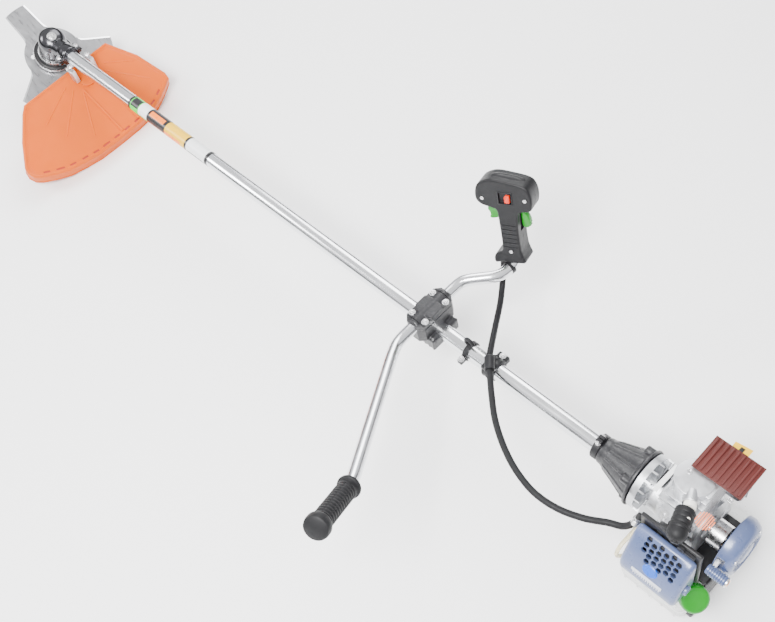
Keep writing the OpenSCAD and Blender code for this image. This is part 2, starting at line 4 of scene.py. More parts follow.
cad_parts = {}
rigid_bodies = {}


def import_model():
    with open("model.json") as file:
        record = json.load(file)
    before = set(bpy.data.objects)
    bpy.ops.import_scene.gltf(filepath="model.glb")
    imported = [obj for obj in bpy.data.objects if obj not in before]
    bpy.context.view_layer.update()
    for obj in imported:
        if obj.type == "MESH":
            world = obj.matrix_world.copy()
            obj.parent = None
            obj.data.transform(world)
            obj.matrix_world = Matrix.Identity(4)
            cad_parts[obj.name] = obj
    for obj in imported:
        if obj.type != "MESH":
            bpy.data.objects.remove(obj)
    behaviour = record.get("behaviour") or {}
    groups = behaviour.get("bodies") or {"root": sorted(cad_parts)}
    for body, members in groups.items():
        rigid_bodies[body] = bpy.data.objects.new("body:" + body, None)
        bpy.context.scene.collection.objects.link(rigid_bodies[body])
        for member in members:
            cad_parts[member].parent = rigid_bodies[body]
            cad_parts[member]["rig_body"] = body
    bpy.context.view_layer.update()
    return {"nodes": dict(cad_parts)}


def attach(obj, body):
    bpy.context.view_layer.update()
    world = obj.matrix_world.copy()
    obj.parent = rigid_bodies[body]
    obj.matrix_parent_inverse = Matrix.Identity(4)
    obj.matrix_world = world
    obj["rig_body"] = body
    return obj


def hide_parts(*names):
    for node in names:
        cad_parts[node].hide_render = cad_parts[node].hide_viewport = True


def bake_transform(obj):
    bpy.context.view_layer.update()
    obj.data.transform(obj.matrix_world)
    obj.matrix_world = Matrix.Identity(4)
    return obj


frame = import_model()


def cosd(deg):
    return math.cos(math.radians(deg))


def sind(deg):
    return math.sin(math.radians(deg))


def rot(deg, axis):
    return Matrix.Rotation(math.radians(deg), 4, axis)


def move(x, y, z):
    return Matrix.Translation((x, y, z))


# Shaft frame: millimetres, origin on the shaft axis at the clutch housing, +X to the blade, +Y left, +Z up
TILT, GTILT = math.radians(33), math.radians(28)
BX, BZ = 1461 + 62 * math.sin(TILT), -62 * math.cos(TILT)
HIGH = 22 + 181 * math.sin(GTILT) + 30 * math.cos(GTILT)
ROW = Vector((-(BX + 127.5 * math.cos(TILT) - 244) / 2, -91, HIGH))
TO_ROW = Matrix.Scale(0.001, 4) @ Matrix.Translation(ROW)
BLADE = move(BX, 0, BZ) @ Matrix.Rotation(-TILT, 4, "Y")
GUARD = move(1385, 0, -22) @ Matrix.Rotation(-GTILT, 4, "Y")
GRIP = (move(301, -158, 44) @ rot(22, "Z")
        @ rot(9, "Y") @ rot(18, "X"))
ID = Matrix.Identity(4)
PLUG = Vector((-149, 12, 104))
PLUG_D = Vector((-26, 53, 12)).normalized()
NECK = Vector((-213, 80, -42))
NECK_D = Vector((-62, 36, 70)).normalized()
PULL_D = Vector((0, cosd(58), sind(58)))
PULL = Vector((-225.5, 34.3 * cosd(-32), 34.3 * sind(-32)))


# ---------- mesh helpers ----------
def link(o):
    bpy.context.scene.collection.objects.link(o)
    return o


def raw(name, verts, faces):
    me = bpy.data.meshes.new(name)
    me.from_pydata([tuple(v) for v in verts], [], faces)
    me.update()
    o = link(bpy.data.objects.new(name, me))
    bm = bmesh.new()
    bm.from_mesh(me)
    bmesh.ops.recalc_face_normals(bm, faces=bm.faces)
    bm.to_mesh(me)
    bm.free()
    return o


def bake(o):
    dg = bpy.context.evaluated_depsgraph_get()
    me = bpy.data.meshes.new_from_object(o.evaluated_get(dg))
    o.modifiers.clear()
    o.data = me
    return o


def mod(o, kind, **kw):
    m = o.modifiers.new(kind, kind)
    for k, v in kw.items():
        setattr(m, k, v)
    return bake(o)


def join(objs):
    bm = bmesh.new()
    for o in objs:
        bm.from_mesh(o.data)
    bm.to_mesh(objs[0].data)
    bm.free()
    for o in objs[1:]:
        bpy.data.objects.remove(o)
    return objs[0]


def cut(o, tool, op="DIFFERENCE", solver="EXACT"):
    tools = tool if isinstance(tool, list) else [tool]
    t = join(tools)
    m = o.modifiers.new("b", "BOOLEAN")
    m.operation, m.object, m.solver = op, t, solver
    bake(o)
    bpy.data.objects.remove(t)
    return o


def bevel(o, w, seg=3, angle=30):
    return mod(o, "BEVEL", width=w, segments=seg, limit_method="ANGLE", angle_limit=math.radians(angle),
               use_clamp_overlap=True)


def soften(o, voxel, rounds=6, factor=0.5):
    mod(o, "REMESH", mode="VOXEL", voxel_size=voxel)
    return mod(o, "SMOOTH", factor=factor, iterations=rounds)


def at(o, m):
    o.data.transform(m)
    if m.determinant() < 0:
        o.data.flip_normals()
    return o


def toward(p, d):
    d = Vector(d).normalized()
    return Matrix.Translation(Vector(p)) @ d.to_track_quat("Z", "Y").to_matrix().to_4x4()


def lathe(name, prof, m=ID, n=64, arc=360):
    """Turns a profile of (radius, height) points about local Z. A closed outline makes a ring."""
    verts, faces, ring = [], [], []
    steps = n if arc == 360 else n + 1
    for i in range(steps):
        a = math.radians(arc * i / n)
        row = []
        for r, h in prof:
            if r < 1e-6:
                if i == 0:
                    verts.append((0, 0, h))
                    row.append(len(verts) - 1)
                else:
                    row.append(ring[0][len(row)])
            else:
                verts.append((r * math.cos(a), r * math.sin(a), h))
                row.append(len(verts) - 1)
        ring.append(row)
    for i in range(n):
        a, b = ring[i], ring[(i + 1) % steps]
        for k in range(len(prof) - 1):
            q = []
            for v in (a[k], b[k], b[k + 1], a[k + 1]):
                if v not in q:
                    q.append(v)
            if len(q) > 2:
                faces.append(q)
    return at(raw(name, verts, faces), m)


def pill(r, h0, h1, e, n=3):
    """Profile of a solid cylinder with rounded rims."""
    lo = [(r - e + e * math.sin(t), h0 + e - e * math.cos(t))
          for t in [math.pi / 2 * i / n for i in range(n + 1)]]
    hi = [(r - e + e * math.cos(t), h1 - e + e * math.sin(t))
          for t in [math.pi / 2 * i / n for i in range(n + 1)]]
    return [(0, h0)] + lo + hi + [(0, h1)]


def ringp(r, ri, h0, h1, e):
    """Closed profile of a tube with chamfered rims."""
    return [(ri, h0 + e), (ri + e, h0), (r - e, h0), (r, h0 + e), (r, h1 - e), (r - e, h1), (ri + e, h1),
            (ri, h1 - e), (ri, h0 + e)]


def catmull(p, n):
    p = [Vector(v) for v in p]
    out = []
    for i in range(len(p) - 1):
        a, b, c, d = p[max(i - 1, 0)], p[i], p[i + 1], p[min(i + 2, len(p) - 1)]
        for k in range(n):
            t = k / n
            out.append(0.5 * (2 * b + (c - a) * t + (2 * a - 5 * b + 4 * c - d) * t * t
                              + (3 * b - a - 3 * c + d) * t ** 3))
    return out + [p[-1]]


def rounded(p, t, n):
    p = [Vector(v) for v in p]
    out = [p[0]]
    for i in range(1, len(p) - 1):
        a = p[i] + (p[i - 1] - p[i]).normalized() * min(t, 0.45 * (p[i - 1] - p[i]).length)
        b = p[i] + (p[i + 1] - p[i]).normalized() * min(t, 0.45 * (p[i + 1] - p[i]).length)
        out += [(1 - u) ** 2 * a + 2 * u * (1 - u) * p[i] + u * u * b for u in [k / n for k in range(n + 1)]]
    return out + [p[-1]]


def sweep(name, path, r, n=24, radii=None, flat=None):
    """A tube along a path; radii gives a radius for each point, flat squeezes it sideways."""
    path = [Vector(v) for v in path]
    d0 = (path[1] - path[0]).normalized()
    s = d0.cross(Vector((0, 0, 1)))
    s = s.normalized() if s.length > 0.1 else Vector((1, 0, 0))
    verts, faces = [], []
    for i, p in enumerate(path):
        d = (path[min(i + 1, len(path) - 1)] - path[max(i - 1, 0)]).normalized()
        s = (s - d * s.dot(d)).normalized()
        u = d.cross(s)
        q = radii[i] if radii else r
        for k in range(n):
            a = 2 * math.pi * k / n
            verts.append(p + s * q * math.cos(a) * (flat or 1) + u * q * math.sin(a))
    for i in range(len(path) - 1):
        for k in range(n):
            faces.append((i * n + k, i * n + (k + 1) % n, (i + 1) * n + (k + 1) % n, (i + 1) * n + k))
    faces.append(tuple(range(n)))
    faces.append(tuple((len(path) - 1) * n + k for k in range(n)))
    return raw(name, verts, faces)


def prism(name, poly, h0, h1, m=ID):
    """A flat outline drawn in local XY, from h0 to h1 along local Z."""
    n = len(poly)
    verts = [(x, y, h0) for x, y in poly] + [(x, y, h1) for x, y in poly]
    faces = [tuple(range(n)), tuple(range(n, 2 * n))] + [(i, (i + 1) % n, n + (i + 1) % n, n + i)
        for i in range(n)]
    return at(raw(name, verts, faces), m)


def box(name, lo, hi, e=0, seg=3, m=ID):
    o = prism(name, [(lo[0], lo[1]), (hi[0], lo[1]), (hi[0], hi[1]), (lo[0], hi[1])], lo[2], hi[2])
    if e:
        bevel(o, e, seg)
    return at(o, m)


YZ = Matrix(((0, 0, 1, 0), (1, 0, 0, 0), (0, 1, 0, 0), (0, 0, 0, 1)))      # outline (y, z), height along X
XZ = Matrix(((1, 0, 0, 0), (0, 0, -1, 0), (0, 1, 0, 0), (0, 0, 0, 1)))     # outline (x, z), height along -Y
ALONG_X = rot(90, "Y")


def hexagon(r, turn=0):
    return [(r * cosd(60 * k + turn), r * sind(60 * k + turn)) for k in range(6)]


def hexbolt(name, p, d, r=5, h=4.5, washer=True):
    """Hexagon head with chamfered corners on a washer."""
    m = toward(p, d)
    head = prism(name, hexagon(r), 0, h, m)
    cone = lathe("cone", [(0, h * 0.1 - 1), (r * 1.02, h * 0.1 - 1), (r * 1.02, h * 0.72),
                          (r * 0.82, h + 0.02), (0, h + 0.02)], m, 32)
    cut(head, cone, "INTERSECT")
    parts = [head, lathe("dimple", pill(r * 0.5, h - 0.4, h + 0.25, 0.2), m, 24)]
    if washer:
        parts.append(lathe("washer", ringp(r * 1.35, r * 0.3, -0.2, 0.9, 0.2), m, 32))
    return join(parts)


def socket(name, p, d, r=4, h=4):
    """Cap screw with a hexagon socket."""
    m = toward(p, d)
    o = lathe(name, pill(r, 0, h, 0.5), m, 32)
    return cut(o, prism("key", hexagon(r * 0.52), h * 0.35, h + 1, m))


def done(o, body, mat, nodes=(), sharp=32):
    """Into the row frame, smooth with sharp edges, painted, on its body, in place of the CAD nodes."""
    at(o, TO_ROW)
    me = o.data
    me.polygons.foreach_set("use_smooth", [True] * len(me.polygons))
    bm = bmesh.new()
    bm.from_mesh(me)
    for e in bm.edges:
        e.smooth = len(e.link_faces) == 2 and e.calc_face_angle(0) < math.radians(sharp)
    bm.to_mesh(me)
    bm.free()
    if mat:
        me.materials.clear()
        me.materials.append(mat)
    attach(o, body)
    if nodes:
        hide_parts(*nodes)
    return o


# ---------- materials ----------
def paint(slot, base, rough=0.4, metal=0.0, vary=0.07, rvary=0.1, coarse=22.0, fine=900.0, bump=0.12,
          depth=0.00025,
          grain="noise", stretch=(1, 1, 1), wear=None, worn=0.0, name=None, **fixed):
    """Procedural surface: colour variation, roughness variation, bump and light wear; fixed holds sockets."""
    m = bpy.data.materials.new(name or slot)
    m["slot"] = slot
    m.use_nodes = True
    nt = m.node_tree
    bs = nt.nodes["Principled BSDF"]

    def add(kind, **kw):
        n = nt.nodes.new(kind)
        for k, v in kw.items():
            setattr(n, k, v)
        return n

    def wire(a, i, b, j):
        nt.links.new(a.outputs[i], b.inputs[j])

    tc = add("ShaderNodeTexCoord")
    mp = add("ShaderNodeMapping")
    mp.inputs["Scale"].default_value = stretch
    wire(tc, "Object", mp, "Vector")
    big = add("ShaderNodeTexNoise")
    big.inputs["Scale"].default_value = coarse
    big.inputs["Detail"].default_value = 5
    wire(mp, "Vector", big, "Vector")
    mix = add("ShaderNodeMix", data_type="RGBA")
    wire(big, "Fac", mix, 0)
    mix.inputs[6].default_value = (*[max(c * (1 - vary * 1.6), 0) for c in base], 1)
    mix.inputs[7].default_value = (*[min(c * (1 + vary * 1.6) + vary * 0.02, 1) for c in base], 1)
    colour = mix
    if wear:
        sc = add("ShaderNodeTexNoise")
        sc.inputs["Scale"].default_value = coarse * 7
        sc.inputs["Detail"].default_value = 8
        wire(tc, "Object", sc, "Vector")
        geo = add("ShaderNodeNewGeometry")
        edge = add("ShaderNodeMapRange")
        edge.inputs["From Min"].default_value, edge.inputs["From Max"].default_value = 0.52, 0.62
        wire(geo, "Pointiness", edge, "Value")
        spot = add("ShaderNodeMapRange")
        spot.inputs["From Min"].default_value, spot.inputs["From Max"].default_value = 0.55, 0.75
        wire(sc, "Fac", spot, "Value")
        both = add("ShaderNodeMath", operation="MAXIMUM")
        half = add("ShaderNodeMath", operation="MULTIPLY")
        half.inputs[1].default_value = 0.35
        wire(spot, "Result", half, 0)
        prod = add("ShaderNodeMath", operation="MULTIPLY")
        wire(edge, "Result", prod, 0)
        wire(sc, "Fac", prod, 1)
        wire(prod, "Value", both, 0)
        wire(half, "Value", both, 1)
        amount = add("ShaderNodeMath", operation="MULTIPLY")
        amount.inputs[1].default_value = worn
        wire(both, "Value", amount, 0)
        over = add("ShaderNodeMix", data_type="RGBA")
        wire(amount, "Value", over, 0)
        wire(mix, 2, over, 6)
        over.inputs[7].default_value = (*wear, 1)
        colour = over
    wire(colour, 2, bs, "Base Color")
    mid = add("ShaderNodeTexNoise")
    mid.inputs["Scale"].default_value = coarse * 4
    mid.inputs["Detail"].default_value = 6
    wire(mp, "Vector", mid, "Vector")
    rr = add("ShaderNodeMapRange")
    rr.inputs["From Min"].default_value, rr.inputs["From Max"].default_value = 0.3, 0.7
    rr.inputs["To Min"].default_value = max(rough - rvary, 0.03)
    rr.inputs["To Max"].default_value = min(rough + rvary, 1)
    wire(mid, "Fac", rr, "Value")
    wire(rr, "Result", bs, "Roughness")
    if grain == "voronoi":
        tex = add("ShaderNodeTexVoronoi", feature="SMOOTH_F1")
        out = "Distance"
    else:
        tex = add("ShaderNodeTexNoise")
        tex.inputs["Detail"].default_value = 4
        out = "Fac"
    tex.inputs["Scale"].default_value = fine
    wire(mp, "Vector", tex, "Vector")
    bp = add("ShaderNodeBump")
    bp.inputs["Strength"].default_value = bump
    bp.inputs["Distance"].default_value = depth
    wire(tex, out, bp, "Height")
    wire(bp, "Normal", bs, "Normal")
    bs.inputs["Metallic"].default_value = metal
    for k, v in fixed.items():
        bs.inputs[k.replace("_", " ")].default_value = v
    return m


M = {
    "tube_chrome": paint("tube_chrome", (0.78, 0.79, 0.81), 0.2, 1, 0.03, 0.07, 30, 700, 0.05, 0.0002,
                         stretch=(0.15, 1, 1)),
    "steel": paint("steel", (0.7, 0.7, 0.71), 0.27, 1, 0.07, 0.1, 60, 800, 0.1),
    "blade_steel": paint("blade_steel", (0.3, 0.3, 0.31), 0.36, 1, 0.09, 0.12, 18, 500, 0.12,
                         stretch=(0.4, 3, 1),
                         wear=(0.75, 0.76, 0.78), worn=0.45),
    "edge_steel": paint("blade_steel", (0.85, 0.86, 0.88), 0.2, 1, 0.04, 0.06, 60, 900, 0.12,
                        name="edge_steel"),
    "cast_dark": paint("cast_dark", (0.011, 0.011, 0.013), 0.42, 0.1, 0.12, 0.08, 26, 380, 0.5, 0.0006,
                       grain="voronoi",
                       wear=(0.22, 0.22, 0.24), worn=0.25, Coat_Weight=0.15, Coat_Roughness=0.25),
    "dark_chrome": paint("cast_dark", (0.07, 0.07, 0.075), 0.2, 1, 0.12, 0.08, 30, 600, 0.2,
                         name="dark_chrome"),
    "alloy": paint("alloy", (0.62, 0.63, 0.65), 0.42, 1, 0.06, 0.1, 30, 450, 0.35, 0.0004,
                   wear=(0.3, 0.3, 0.31), worn=0.2),
    "iron": paint("iron", (0.3, 0.3, 0.32), 0.5, 1, 0.1, 0.1, 30, 400, 0.4),
    "black_plastic": paint("black_plastic", (0.006, 0.006, 0.007), 0.42, 0, 0.15, 0.08, 30, 1200, 0.2, 0.0003,
                           wear=(0.04, 0.04, 0.045), worn=0.35, Specular_IOR_Level=0.3),
    "rubber": paint("rubber", (0.006, 0.006, 0.007), 0.55, 0, 0.15, 0.08, 30, 1500, 0.3, 0.0003,
                    wear=(0.035, 0.035, 0.035), worn=0.3,
                    Specular_IOR_Level=0.25),
    "orange_plastic": paint("orange_plastic", (0.44, 0.036, 0.0), 0.42, 0, 0.03, 0.06, 14, 420, 0.05, 0.0003,
                            wear=(0.52, 0.06, 0.005), worn=0.15, Specular_IOR_Level=0.12),
    # lighter copy of the orange cover plastic: painted highlight
    "orange_highlight": paint("orange_plastic", (0.85, 0.22, 0.09), 0.35, 0, 0.04, 0.06, 40, 900, 0.05,
                         name="orange_highlight"),
    "guard_plastic": paint("guard_plastic", (0.62, 0.1, 0.0), 0.4, 0, 0.06, 0.08, 12, 350, 0.08, 0.0003,
                           wear=(0.7, 0.14, 0.005), worn=0.2, Specular_IOR_Level=0.2,
                           Transmission_Weight=0.04, IOR=1.46,
                           Subsurface_Weight=0.2, Subsurface_Radius=(0.01, 0.003, 0.0005)),
    # darker copy of the guard plastic: painted shade for the floors of the guard's slots
    "guard_slot_shade": paint("guard_plastic", (0.36, 0.02, 0.0), 0.4, 0, 0.06, 0.08, 20, 350, 0.1,
                        name="guard_slot_shade"),
    "green_plastic": paint("green_plastic", (0.0, 0.2, 0.002), 0.36, 0, 0.05, 0.07, 24, 500, 0.06, 0.0003,
                           Coat_Weight=0.15),
    "red_plastic": paint("red_plastic", (0.7, 0.03, 0.004), 0.32, 0, 0.05, 0.07, 40, 600, 0.06,
                         Coat_Weight=0.15),
    "slate_plastic": paint("slate_plastic", (0.075, 0.105, 0.22), 0.32, 0.1, 0.07, 0.08, 22, 420, 0.12,
                           0.0003,
                           wear=(0.3, 0.33, 0.4), worn=0.3, Coat_Weight=0.25, Coat_Roughness=0.15),
    "grey_print": paint("slate_plastic", (0.6, 0.62, 0.68), 0.4, 0, 0.08, 0.06, 40, 900, 0.1,
                        name="grey_print"),
    "tank_plastic": paint("tank_plastic", (0.74, 0.75, 0.74), 0.34, 0, 0.04, 0.08, 14, 400, 0.08, 0.0003,
                          Transmission_Weight=0.12, IOR=1.45, Subsurface_Weight=0.15,
                          Subsurface_Radius=(0.01, 0.01, 0.009)),
    "clear_hose": paint("clear_hose", (0.93, 0.85, 0.6), 0.2, 0, 0.04, 0.07, 40, 600, 0.06,
                        Transmission_Weight=0.6, IOR=1.42),
    "ceramic": paint("ceramic", (0.86, 0.84, 0.78), 0.2, 0, 0.03, 0.06, 50, 600, 0.05),
    "foam": paint("foam", (0.04, 0.04, 0.045), 0.9, 0, 0.2, 0.05, 60, 900, 0.9, 0.0012, grain="voronoi"),
    "rope": paint("rope", (0.75, 0.72, 0.62), 0.85, 0, 0.15, 0.08, 80, 1300, 0.8, 0.0008, grain="voronoi",
                  stretch=(1, 1, 0.5)),
    "copper": paint("steel", (0.85, 0.42, 0.22), 0.25, 1, 0.08, 0.1, 60, 700, 0.1, name="copper"),
    "shadow": paint("black_plastic", (0.006, 0.006, 0.007), 0.7, 0, 0.2, 0.1, 30, 900, 0.2, name="shadow"),
    # near-black copy of the orange cover plastic: painted shade inside the cover
    "cover_inside_shade": paint("orange_plastic", (0.07, 0.004, 0.001), 0.6, 0, 0.1, 0.1, 24, 500, 0.2,
                       name="cover_inside_shade"),
    "mark_yellow": paint("orange_plastic", (0.85, 0.5, 0.0), 0.35, 0, 0.04, 0.06, 40, 900, 0.05,
                         name="mark_yellow"),
    "mark_orange": paint("orange_plastic", (0.95, 0.2, 0.01), 0.3, 0, 0.04, 0.06, 40, 900, 0.05,
                         name="mark_orange"),
    "mark_green": paint("green_plastic", (0.05, 0.6, 0.06), 0.3, 0, 0.04, 0.06, 40, 900, 0.05,
                        name="mark_green"),
    "mark_white": paint("tank_plastic", (0.85, 0.86, 0.86), 0.3, 0, 0.04, 0.06, 40, 900, 0.05,
                        name="mark_white"),
    "mark_black": paint("black_plastic", (0.012, 0.012, 0.013), 0.32, 0, 0.1, 0.06, 40, 900, 0.05,
                        name="mark_black"),
    "mark_blue": paint("slate_plastic", (0.004, 0.09, 0.5), 0.3, 0, 0.06, 0.06, 40, 900, 0.05,
                       name="mark_blue"),
}


def cad(node, mat):
    """A CAD piece shown as it is, with its own finish and softened edges."""
    o = frame["nodes"][node]
    o.data.materials.clear()
    o.data.materials.append(M[mat])
    b = o.modifiers.new("edges", "BEVEL")
    b.width, b.segments, b.limit_method, b.angle_limit = 0.0004, 2, "ANGLE", math.radians(35)
    return o


# ---------- blade and gear head ----------
def arc(r, a0, a1, n):
    return [(r * cosd(a0 + (a1 - a0) * i / n), r * sind(a0 + (a1 - a0) * i / n))
            for i in range(n + 1)]


def blade():
    side = [(57, 30.5), (63, 28.5), (72, 27.5), (90, 26.8), (110, 26.2), (124.6, 25.4)]
    outer, inner = [], []
    for k in range(3):
        a = 120 * k
        c, s = cosd(a), sind(a)
        run = [(x, -y, 3.2 if x > 60 else 0.6) for x, y in side]
        run += [(127.5 * cosd(t), 127.5 * sind(t), 0.8) for t in (-9, -5, 0, 5, 9)]
        run += [(x, y, 3.2 if x > 60 else 0.6) for x, y in reversed(side)]
        for x, y, e in run:
            outer.append((x * c - y * s, x * s + y * c))
            q = max(abs(y) - e, 0) * (1 if y > 0 else -1)
            inner.append(((x - 0.8) * c - q * s, (x - 0.8) * s + q * c))
        outer += arc(62, a + 32, a + 88, 14)
        inner += arc(61.4, a + 32, a + 88, 14)
    n = len(outer)
    verts = [(x, y, z) for z, ring in ((0, outer), (0.8, inner), (-0.8, inner)) for x, y in ring]
    faces = [(i, (i + 1) % n, n + (i + 1) % n, n + i) for i in range(n)]
    faces += [(i, (i + 1) % n, 2 * n + (i + 1) % n, 2 * n + i) for i in range(n)]
    faces += [tuple(range(n, 2 * n)), tuple(range(2 * n, 3 * n))]
    o = raw("blade", verts, faces)
    holes = [lathe("h", pill(12.75, -5, 5, 0.1), ID, 48)]
    for k in range(3):
        a = math.radians(60 + 120 * k)
        holes.append(lathe("h", pill(5, -5, 5, 0.1),
                           Matrix.Translation((44 * math.cos(a), 44 * math.sin(a), 0)), 32))
    cut(o, holes)
    at(o, BLADE)
    done(o, "blade_group", M["blade_steel"], ["cutter_blade"], sharp=6)
    o.data.materials.append(M["edge_steel"])
    up = BLADE.to_3x3() @ Vector((0, 0, 1))
    for p in o.data.polygons:
        t = abs(p.normal.dot(up))
        if 0.5 < t < 0.995:
            p.material_index = 1


blade()


def blade_clamp():
    top = lathe("flange_top", [(6, 0.8), (25.2, 0.8), (26, 1.4), (26, 4.6), (25, 5.6), (14, 5.8), (12, 5.8),
                               (6, 5.8), (6, 0.8)], BLADE)
    low = lathe("flange_low", [(5, -2), (15, -2), (15, -0.8), (25.6, -0.8), (26, -1.4), (26, -3.6),
                               (24.5, -4.6), (20, -5.2),
                               (18.6, -9), (18, -12), (16.5, -13), (5, -13), (5, -2)], BLADE)
    slots = []
    for k in range(6):
        m = BLADE @ rot(60 * k + 30, "Z")
        slots.append(lathe("v", pill(2.2, -20, -4, 0.2), m @ move(21.5, 0, 0), 20))
    cut(low, slots)
    done(join([top, low]), "blade_group", M["steel"], ["blade_flanges"])
    m = BLADE @ move(0, 0, -22)
    nut = prism("nut", hexagon(10.5), 0, 9, m)
    cut(nut, lathe("c", [(0, -1), (8.8, -1), (10.6, 1.6), (10.6, 9.5), (0, 9.5)], m, 40), "INTERSECT")
    ring = lathe("nut_washer", ringp(12.4, 5.4, 7.2, 9, 0.5), m, 40)
    thread = lathe("thread", [(0, -4)] + [(4.6 + 0.4 * (i % 2), -3.6 + 0.6 * i)
                                          for i in range(12)] + [(0, 3)], m, 32)
    done(join([nut, ring, thread]), "blade_group", M["steel"], ["blade_nut"])


blade_clamp()


def gear_head():
    dome = [(0, 93.6)] + [(29 * sind(t) ** 0.85, 68 + 25.6 * cosd(t) ** 0.8) for t in range(6, 88, 6)]
    body = lathe("case", dome + [(29, 66), (29, 40), (29.6, 39), (29.6, 33), (29, 32), (29, 20), (27.5, 16.2),
                                 (0, 16.2)], BLADE, 96)
    arm = lathe("arm", [(0, -12), (19, -12), (20.4, -10.5), (21, -8), (21, 4), (20.5, 8), (19.6, 14),
                        (19.6, 40), (21, 52), (24, 62), (0, 62)],
                move(1399, 0, 0) @ ALONG_X, 72)
    ears = [box("ear", (1390, -27.5, -7), (1414, 27.5, 6.6), 3, 4),
            lathe("boss", pill(8.5, -8, 7, 1.4, 4), move(1400, 19.6, 0), 32),
            lathe("boss", pill(8.5, -8, 7, 1.4, 4), move(1400, -19.6, 0), 32)]
    ribs = []
    for a in (-58, -20, 20, 58):
        r = math.radians(a + 180)
        ribs.append(box("rib", (22, -1.6, 22), (30.4, 1.6, 68), 1.2, 3, BLADE @ Matrix.Rotation(r, 4, "Z")))
    o = join([body, arm] + ears + ribs)
    soften(o, 0.75, 5)
    done(o, "machine", M["dark_chrome"], ["gear_case"], sharp=50)
    slit = box("slit", (1388.6, -29, -0.7), (1402, 29, 0.7), 0.2, 1)
    done(slit, "machine", M["shadow"])
    cap = lathe("top_boss", ringp(9.5, 5, 92.2, 95, 0.8), BLADE, 40)
    bolts = [cap]
    for y in (-21, 21):
        bolts.append(hexbolt("b", (1400, y, 7), (0, 0, 1), 4.6, 4.2))
    for y in (-22, 22):
        bolts.append(hexbolt("b", (1359, y, 5.2), (0, 0, 1), 4.6, 4.2))
    bolts.append(hexbolt("b", BLADE @ Vector((0, 0, 93.8)), BLADE.to_3x3() @ Vector((0, 0, 1)), 6.2, 4.2))
    done(join(bolts), "machine", M["steel"], ["head_bolts"])
    cup = lathe("cup", [(7, 14.4), (33, 14.4), (34, 13.6), (34, 8), (34, 6.6), (40.2, 6.6), (41.2, 7),
                        (41.2, 11.5), (40.6, 13), (36, 14.2),
                        (34.6, 15.8), (30, 16.2), (7, 16.2), (7, 14.4)], BLADE, 96)
    done(cup, "machine", M["black_plastic"], ["debris_cup"])
    rim = lathe("cup_rim", ringp(43, 40.9, 7, 11.6, 0.6), BLADE, 96)
    step = lathe("cup_band", ringp(32.4, 28.6, 16, 22, 1.2), BLADE, 96)
    done(join([rim, step]), "machine", M["steel"])


gear_head()


# ---------- guard ----------
def outline():
    edge = [(3, -79), (-60, -112), (-128, -129), (-142, -127), (-156, -102), (-170, -72), (-178, -40),
            (-181, -10), (-182, 40), (-181, 92),
            (-175, 130), (-168, 164), (-155, 194), (-143, 216), (-134, 226), (-120, 231), (-106, 228),
            (-60, 196), (-14, 156), (0, 140)]
    return edge


def inside(poly, d):
    """The outline moved inwards by d."""
    n, out = len(poly), []
    for i in range(n):
        a, b, c = Vector(poly[i - 1]), Vector(poly[i]), Vector(poly[(i + 1) % n])
        u, v = (b - a).normalized(), (c - b).normalized()
        nu, nv = Vector((u.y, -u.x)), Vector((v.y, -v.x))
        w = (nu + nv)
        w = w.normalized() * min(d / max(w.normalized().dot(nu), 0.35), d * 2.2)
        out.append((b.x - w.x, b.y - w.y) if area(poly) > 0 else (b.x + w.x, b.y + w.y))
    return out


def area(poly):
    return sum(poly[i - 1][0] * poly[i][1] - poly[i][0] * poly[i - 1][1] for i in range(len(poly))) / 2


def refine(poly, step):
    out = []
    for i in range(len(poly)):
        a, b = Vector(poly[i]), Vector(poly[(i + 1) % len(poly)])
        k = max(1, int((b - a).length / step))
        out += [tuple(a + (b - a) * j / k) for j in range(k)]
    return out


